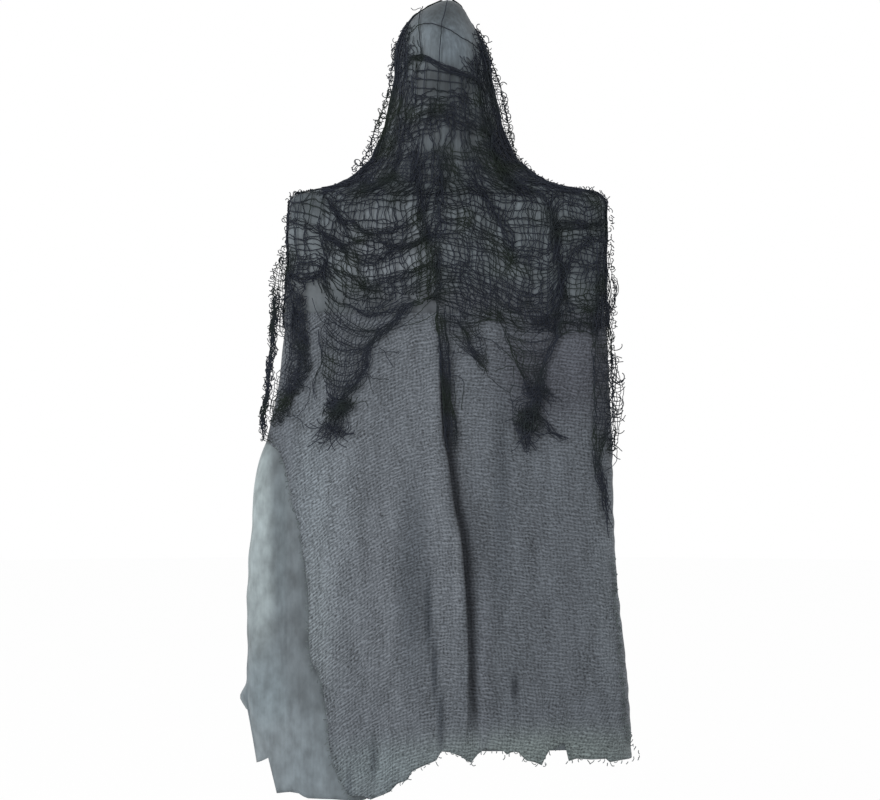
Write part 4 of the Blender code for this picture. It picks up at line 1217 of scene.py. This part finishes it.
def web(piece, left, right, warps, pitch, seed, lift=0.0022, sag=0.25, gap=0.12):
    """Torn net between two routes: strands down it, and sagging rows across."""
    draws = np.random.default_rng(seed)
    left, right = route(left, 0.001), route(right, 0.001)
    low, high = max(left[0, 1], right[0, 1]), min(left[-1, 1], right[-1, 1])
    drop = np.arange(low, high, 0.0025)
    a, b = np.interp(drop, left[:, 1], left[:, 0]), np.interp(drop, right[:, 1], right[:, 0])
    for share in np.linspace(0, 1, warps):
        own = share + 0.5 / warps * ripple(drop, drop * 0 + share, 0.03, seed + 1)
        line = wavy(np.stack((a + (b - a) * own, drop), 1), draws, 0.0007, 0.009)
        ends = draws.integers(0, max(len(drop) // 8, 1), 2)
        line = line[ends[0] : len(line) - ends[1]]
        keep(piece, on_cloth(line[:, 0], line[:, 1], lift + draws.uniform(-0.0006, 0.0006)))
    rows = np.arange(low, high, pitch)
    for row in rows + draws.uniform(-0.3, 0.3, len(rows)) * pitch:
        start, end = np.interp(row, drop, a), np.interp(row, drop, b)
        across = np.linspace(0, 1, max(int(abs(end - start) / 0.0025), 3) + 1)
        if draws.uniform() < gap:
            across = across[: max(len(across) // 2, 2)]
        hang = sag * (end - start) * across * (1 - across) * 2 * draws.uniform(0.3, 1.3)
        line = wavy(np.stack((start + (end - start) * across, row + hang), 1), draws, 0.0006, 0.008)
        keep(piece, on_cloth(line[:, 0], line[:, 1], lift + draws.uniform(-0.0006, 0.0006)))


LEFT_LIMIT, RIGHT_LIMIT = -0.232, 0.215  # the furthest that a loose thread reaches


def tuft(piece, middle, size, count, length, seed, down=0.0, bend=120.0, lift=0.003):
    """Tangled threads round a place in millimetres. Down is how strongly they hang."""
    draws = np.random.default_rng(seed)
    for _ in range(count):
        x, drop = np.array(middle) / 1000 + draws.normal(0, 0.45, 2) * np.array(size) / 1000
        heading = draws.uniform(-math.pi, math.pi) * (1 - down) + math.pi / 2
        line = curl(draws, x, drop, draws.uniform(*length), heading, bend)
        line[:, 0] = np.clip(line[:, 0], LEFT_LIMIT, RIGHT_LIMIT)
        placed = on_cloth(line[:, 0], line[:, 1], lift + draws.uniform(-0.0012, 0.002))
        keep(piece, placed, THREAD * draws.uniform(0.9, 1.35))


# Hood: single threads that cross the crown, two hanks drawn across the brow, and rings of thread
# that stand out at the sides.
for number, points in enumerate(CROWN_THREADS):
    single("net_hood_threads", points, 300 + number, 0.001, 0.0003, THREAD * 1.4)
for number, points in enumerate(CROWN_BUNDLES):
    count, spread = (6, 0.0013) if number < 2 else (4, 0.0018)
    rope("net_hood_threads", points, 340 + number, count, spread, 0.0012)
HOOD_LACE_RIGHT = (
    (36, 33), (40, 42), (46, 55), (50, 68), (55, 82), (59, 94), (63, 108), (66, 123), (69, 139),
    (72, 153), (76, 169), (84, 184), (98, 194),
)
HOOD_LACE_LEFT = (
    (-45, 30), (-55, 46), (-60, 62), (-63, 84), (-67, 106), (-73, 124), (-81, 144), (-86, 160),
    (-94, 178), (-104, 190),
)
for number, (x, drop, wide, high) in enumerate(HOOD_RINGS):
    turn = np.linspace(0, math.tau, 13) + number
    x = x / 1000 + wide / 1000 * np.cos(turn)
    keep("net_hood_threads", on_cloth(x, drop / 1000 + high / 1000 * np.sin(turn), 0.0005), THREAD)
for number, points in enumerate((HOOD_LACE_LEFT, HOOD_LACE_RIGHT)):
    for strand in (0, 1):
        single("net_hood_threads", points, 370 + 2 * number + strand, 0.0, 0.0018, THREAD)
    inner = [(x + 9 - 18 * number, drop) for x, drop in points]
    web("net_hood_threads", points, inner, 3, 0.006, 392 + number, 0.0, sag=0.4, gap=0.2)
    outward, inward = math.pi * (1 - number), math.pi * number
    rim("net_hood_threads", points, 0.006, 0.003, 380 + number, outward, (0.006, 0.014), 520)
    rim("net_hood_threads", points, 0.003, 0.007, 384 + number, inward, (0.010, 0.024), 380)

# Shoulders and chest: single threads on the bare left shoulder, the swags' gathers, and a rim of
# loose ends along the shoulders and sides.
for number, points in enumerate(LEFT_SHOULDER):
    single("net_gathers", points, 400 + number, 0.001, 0.0004, THREAD * 1.5)
for number, points in enumerate(LEFT_GATHERS):
    rope("net_gathers", points, 440 + number, 4, 0.0034)
for number, points in enumerate(CHEST_GATHERS):
    rope("net_gathers", points, 480 + number, 6, 0.0048)
for number, points in enumerate(LOWER_EDGE_ROPES):
    rope("net_gathers", points, 520 + number, 3, 0.0014, 0.003)
SHOULDER_TOP_LEFT = (
    (-179, 227), (-176, 220), (-168, 217), (-152, 216), (-134, 215), (-125, 210), (-112, 208),
    (-107, 201), (-96, 192), (-86, 179),
)
SHOULDER_TOP_RIGHT = (
    (80, 177), (92, 191), (106, 201), (123, 208), (144, 213), (161, 213), (172, 216), (180, 223),
    (183, 237),
)
SIDE_LEFT = ((-180, 241), (-180, 260), (-182, 278), (-183, 294), (-183, 314))
SIDE_RIGHT = ((184, 241), (184, 280), (186, 325), (187, 370), (187, 390))
rim("net_gathers", SHOULDER_TOP_LEFT, 0.0022, 0.004, 540, -math.pi / 2, (0.004, 0.012), 500)
rim("net_gathers", SHOULDER_TOP_RIGHT, 0.0022, 0.004, 542, -math.pi / 2, (0.004, 0.012), 500)
rim("net_gathers", SIDE_LEFT, 0.003, 0.005, 544, math.pi, (0.005, 0.014), 400)
rim("net_gathers", SIDE_RIGHT, 0.003, 0.004, 546, 0, (0.005, 0.014), 500)

# Tails: strips of net torn loose. Each is a web between its two edges, with a rope where an edge
# has drawn together.
OUTER_TAIL = (
    (-191, 325), (-192, 333), (-194, 353), (-196, 372), (-196, 392), (-200, 412), (-201, 432),
    (-204, 451), (-207, 467), (-206, 482), (-204, 492),
)
SIDE_TAIL_LEFT = (
    (-190, 325), (-188, 357), (-184, 380), (-182, 400), (-190, 422), (-195, 443), (-198, 464),
    (-201, 478),
)
SIDE_TAIL_RIGHT = (
    (-163, 323), (-161, 357), (-161, 388), (-160, 414), (-170, 435), (-181, 456), (-192, 474),
)
LEFT_POINT_LEFT = (
    (-136, 323), (-138, 357), (-140, 388), (-140, 414), (-138, 429), (-134, 443), (-126, 452),
)
LEFT_POINT_RIGHT = (
    (-15, 333), (-37, 340), (-46, 346), (-56, 361), (-72, 371), (-83, 384), (-89, 398), (-92, 415),
    (-102, 432), (-112, 445), (-119, 453),
)
LEFT_STRAND = ((-145, 370), (-143, 388), (-141, 404), (-147, 420), (-151, 435), (-149, 448))
FRINGE_LEFT = ((-126, 458), (-133, 465), (-143, 480), (-151, 494))
FRINGE_RIGHT = ((-115, 458), (-113, 477), (-119, 491), (-125, 505))
WEDGE_LEFT = ((1, 352), (3, 370), (11, 384), (25, 397), (38, 411))
WEDGE_RIGHT = ((34, 352), (37, 370), (40, 384), (44, 397), (46, 411))
MIDDLE_TAIL_LEFT = (
    (-11, 332), (-11, 359), (-8, 387), (-6, 420), (-3, 449), (-2, 471), (-1, 492), (3, 510),
)
MIDDLE_TAIL_RIGHT = ((-2, 336), (-2, 359), (1, 387), (3, 420), (4, 449), (10, 476), (11, 494), (7, 510))
RIGHT_POINT_LEFT = (
    (55, 349), (60, 361), (66, 371), (70, 385), (77, 403), (83, 417), (90, 433), (93, 444),
)
RIGHT_POINT_RIGHT = (
    (129, 349), (125, 375), (119, 386), (115, 395), (110, 404), (107, 417), (108, 431), (106, 444),
)
RIGHT_FAN_LEFT = ((92, 449), (81, 465), (76, 476), (82, 494), (88, 512))
RIGHT_FAN_RIGHT = ((106, 449), (102, 462), (98, 476), (93, 494), (91, 513))
STRAY_THREADS = (
    ((-154, 371), (-143, 366)),
    ((-152, 334), (-147, 349), (-136, 363), (-127, 363)),
    ((-115, 456), (-102, 453), (-92, 450), (-89, 456)),
    ((-89, 420), (-86, 431), (-83, 442)),
    ((-91, 417), (-82, 425), (-65, 426)),
    ((-75, 390), (-70, 396), (-61, 412)),
    ((-84, 398), (-70, 395), (-54, 395), (-54, 398)),
    ((-168, 435), (-161, 434), (-154, 436), (-155, 448), (-161, 459), (-170, 467), (-179, 467)),
    ((-174, 465), (-169, 469), (-164, 472), (-161, 480)),
    ((3, 422), (9, 422), (16, 424), (19, 433), (17, 447), (16, 460)),
    ((7, 426), (9, 440), (9, 456)),
    ((3, 397), (10, 396), (26, 397)),
    ((8, 393), (3, 411), (0, 428)),
    ((45, 421), (52, 428), (59, 434), (70, 442), (73, 454), (74, 476)),
    ((53, 417), (60, 414), (66, 412), (74, 411), (75, 430), (70, 441)),
    ((101, 469), (109, 479), (116, 487), (126, 495), (135, 492)),
    ((106, 470), (112, 474), (119, 480)),
    ((70, 449), (78, 450), (87, 446)),
    ((-8, 348), (-30, 361), (-55, 367)),
    ((26, 366), (35, 379), (48, 381), (60, 393)),
    ((74, 404), (65, 395), (54, 385)),
    ((105, 417), (96, 426), (89, 438)),
    ((192, 502), (188, 519), (179, 529), (173, 537)),
    ((-40, 8), (-37, 10), (-30, 10)),
)
STRAY_BUNDLES = (
    ((89, 462), (102, 466), (111, 474), (118, 484), (126, 490), (134, 492)),
    ((186, 312), (190, 320), (188, 332), (184, 350)),
    ((12, 357), (21, 375), (29, 394), (35, 406), (44, 417), (44, 424)),
)
RIGHT_BAND_LEFT = (
    (168, 269), (169, 303), (168, 336), (165, 375), (165, 417), (166, 460), (165, 489), (165, 519),
    (172, 546), (178, 575), (182, 604),
)
RIGHT_BAND_RIGHT = (
    (182, 269), (182, 303), (182, 336), (183, 375), (183, 417), (184, 460), (179, 489), (172, 519),
    (179, 546), (182, 575), (184, 606),
)
RIGHT_LACE_LEFT = ((183, 388), (184, 411), (186, 444), (186, 476), (181, 507))
RIGHT_LACE_RIGHT = ((188, 388), (192, 411), (198, 447), (194, 476), (190, 512))
rope("net_tails", OUTER_TAIL, 600, 22, 0.0032)
rim("net_tails", OUTER_TAIL, 0.0030, 0.006, 602, math.pi, (0.006, 0.018), 350)
rim("net_tails", OUTER_TAIL, 0.0030, 0.006, 604, 0, (0.006, 0.018), 350)
SIDE_TAIL = (
    (-179, 314), (-174, 336), (-169, 359), (-166, 387), (-166, 410), (-176, 432), (-187, 452),
    (-197, 471),
)
rope("net_tails", SIDE_TAIL, 606, 8, 0.0085)
TAIL_TOP_LEFT = ((-184, 282), (-191, 298), (-196, 313), (-196, 327), (-194, 343), (-194, 372))
TAIL_TOP_RIGHT = ((-179, 282), (-178, 314), (-177, 343), (-174, 372))
web("net_tails", TAIL_TOP_LEFT, TAIL_TOP_RIGHT, 7, 0.0030, 616, sag=0.5)
rim("net_tails", TAIL_TOP_LEFT, 0.0025, 0.005, 618, math.pi, (0.005, 0.014), 400)
rim("net_tails", SIDE_TAIL, 0.0030, 0.010, 608, math.pi / 2, (0.008, 0.022), 300)
web("net_tails", SIDE_TAIL_LEFT, SIDE_TAIL_RIGHT, 8, 0.0046, 610, sag=0.5)
rim("net_tails", SIDE_TAIL_RIGHT, 0.0030, 0.008, 612, 0.4, (0.006, 0.018), 380)
web("net_tails", LEFT_POINT_LEFT, LEFT_POINT_RIGHT, 15, 0.0042, 620, sag=0.7)
rope("net_tails", LEFT_POINT_RIGHT, 622, 9, 0.0045)
rope("net_tails", LEFT_STRAND, 624, 3, 0.0016)
web("net_tails", FRINGE_LEFT, FRINGE_RIGHT, 9, 0.005, 630, sag=0.2, gap=0.4)
web("net_tails", WEDGE_LEFT, WEDGE_RIGHT, 7, 0.0042, 634, sag=0.3)
web("net_tails", MIDDLE_TAIL_LEFT, MIDDLE_TAIL_RIGHT, 7, 0.0036, 640, sag=0.2)
rope("net_tails", MIDDLE_TAIL_LEFT, 642, 5, 0.0016)
rope("net_tails", MIDDLE_TAIL_RIGHT, 644, 3, 0.0012)
web("net_tails", RIGHT_POINT_LEFT, RIGHT_POINT_RIGHT, 6, 0.0060, 650, sag=0.3)
rope("net_tails", RIGHT_POINT_RIGHT, 652, 7, 0.0026)
rope("net_tails", RIGHT_POINT_LEFT, 654, 3, 0.0014)
web("net_tails", RIGHT_FAN_LEFT, RIGHT_FAN_RIGHT, 8, 0.007, 660, sag=0.1, gap=0.5)
web("net_tails", RIGHT_BAND_LEFT, RIGHT_BAND_RIGHT, 5, 0.0050, 670)
rope("net_tails", RIGHT_BAND_LEFT, 672, 3, 0.0026)
rope("net_tails", RIGHT_BAND_RIGHT, 674, 5, 0.0024)
web("net_tails", RIGHT_LACE_LEFT, RIGHT_LACE_RIGHT, 4, 0.005, 680, sag=0.5, gap=0.3)
rim("net_tails", RIGHT_LACE_LEFT, 0.003, 0.014, 682, 0.3, (0.014, 0.034), 260)
for number, points in enumerate(STRAY_THREADS):
    single("net_tails", points, 700 + number, 0.0035, 0.0007)
for number, points in enumerate(STRAY_BUNDLES):
    rope("net_tails", points, 740 + number, 6, 0.0022)

# Knots: the ends of the two long points, tangled and hanging.
tuft("net_tails", (-120, 457), (6, 9), 140, (0.008, 0.022), 760, bend=280)
tuft("net_tails", (-127, 474), (9, 9), 20, (0.018, 0.038), 762, down=0.85)
tuft("net_tails", (100, 437), (9, 15), 50, (0.010, 0.028), 764, down=0.3, bend=240)
tuft("net_tails", (89, 464), (12, 8), 44, (0.012, 0.030), 766, down=0.5, bend=200)
tuft("net_tails", (88, 478), (8, 8), 14, (0.018, 0.036), 768, down=0.9)

# Black cotton thread: matt, and dyed unevenly, so that it looks blue in places and green in others.
net_thread, tree, shader = new_finish("black_cotton_thread", linear("20252a"), 0.85)
shader.inputs["Specular IOR Level"].default_value = 0.25
place = node(tree, "TexCoord").outputs["Object"]
patch = spots(tree, place, 0.045, 2.0)
tree.links.new(tinted(tree, patch, "262b35", "1f2823", 0.48, 0.66), shader.inputs["Base Color"])
pieces = {name: spin_threads(name, net_thread) for name in strands if name != "gauze_fray"}
bpy.data.objects.remove(section_object)
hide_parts("net_cape")
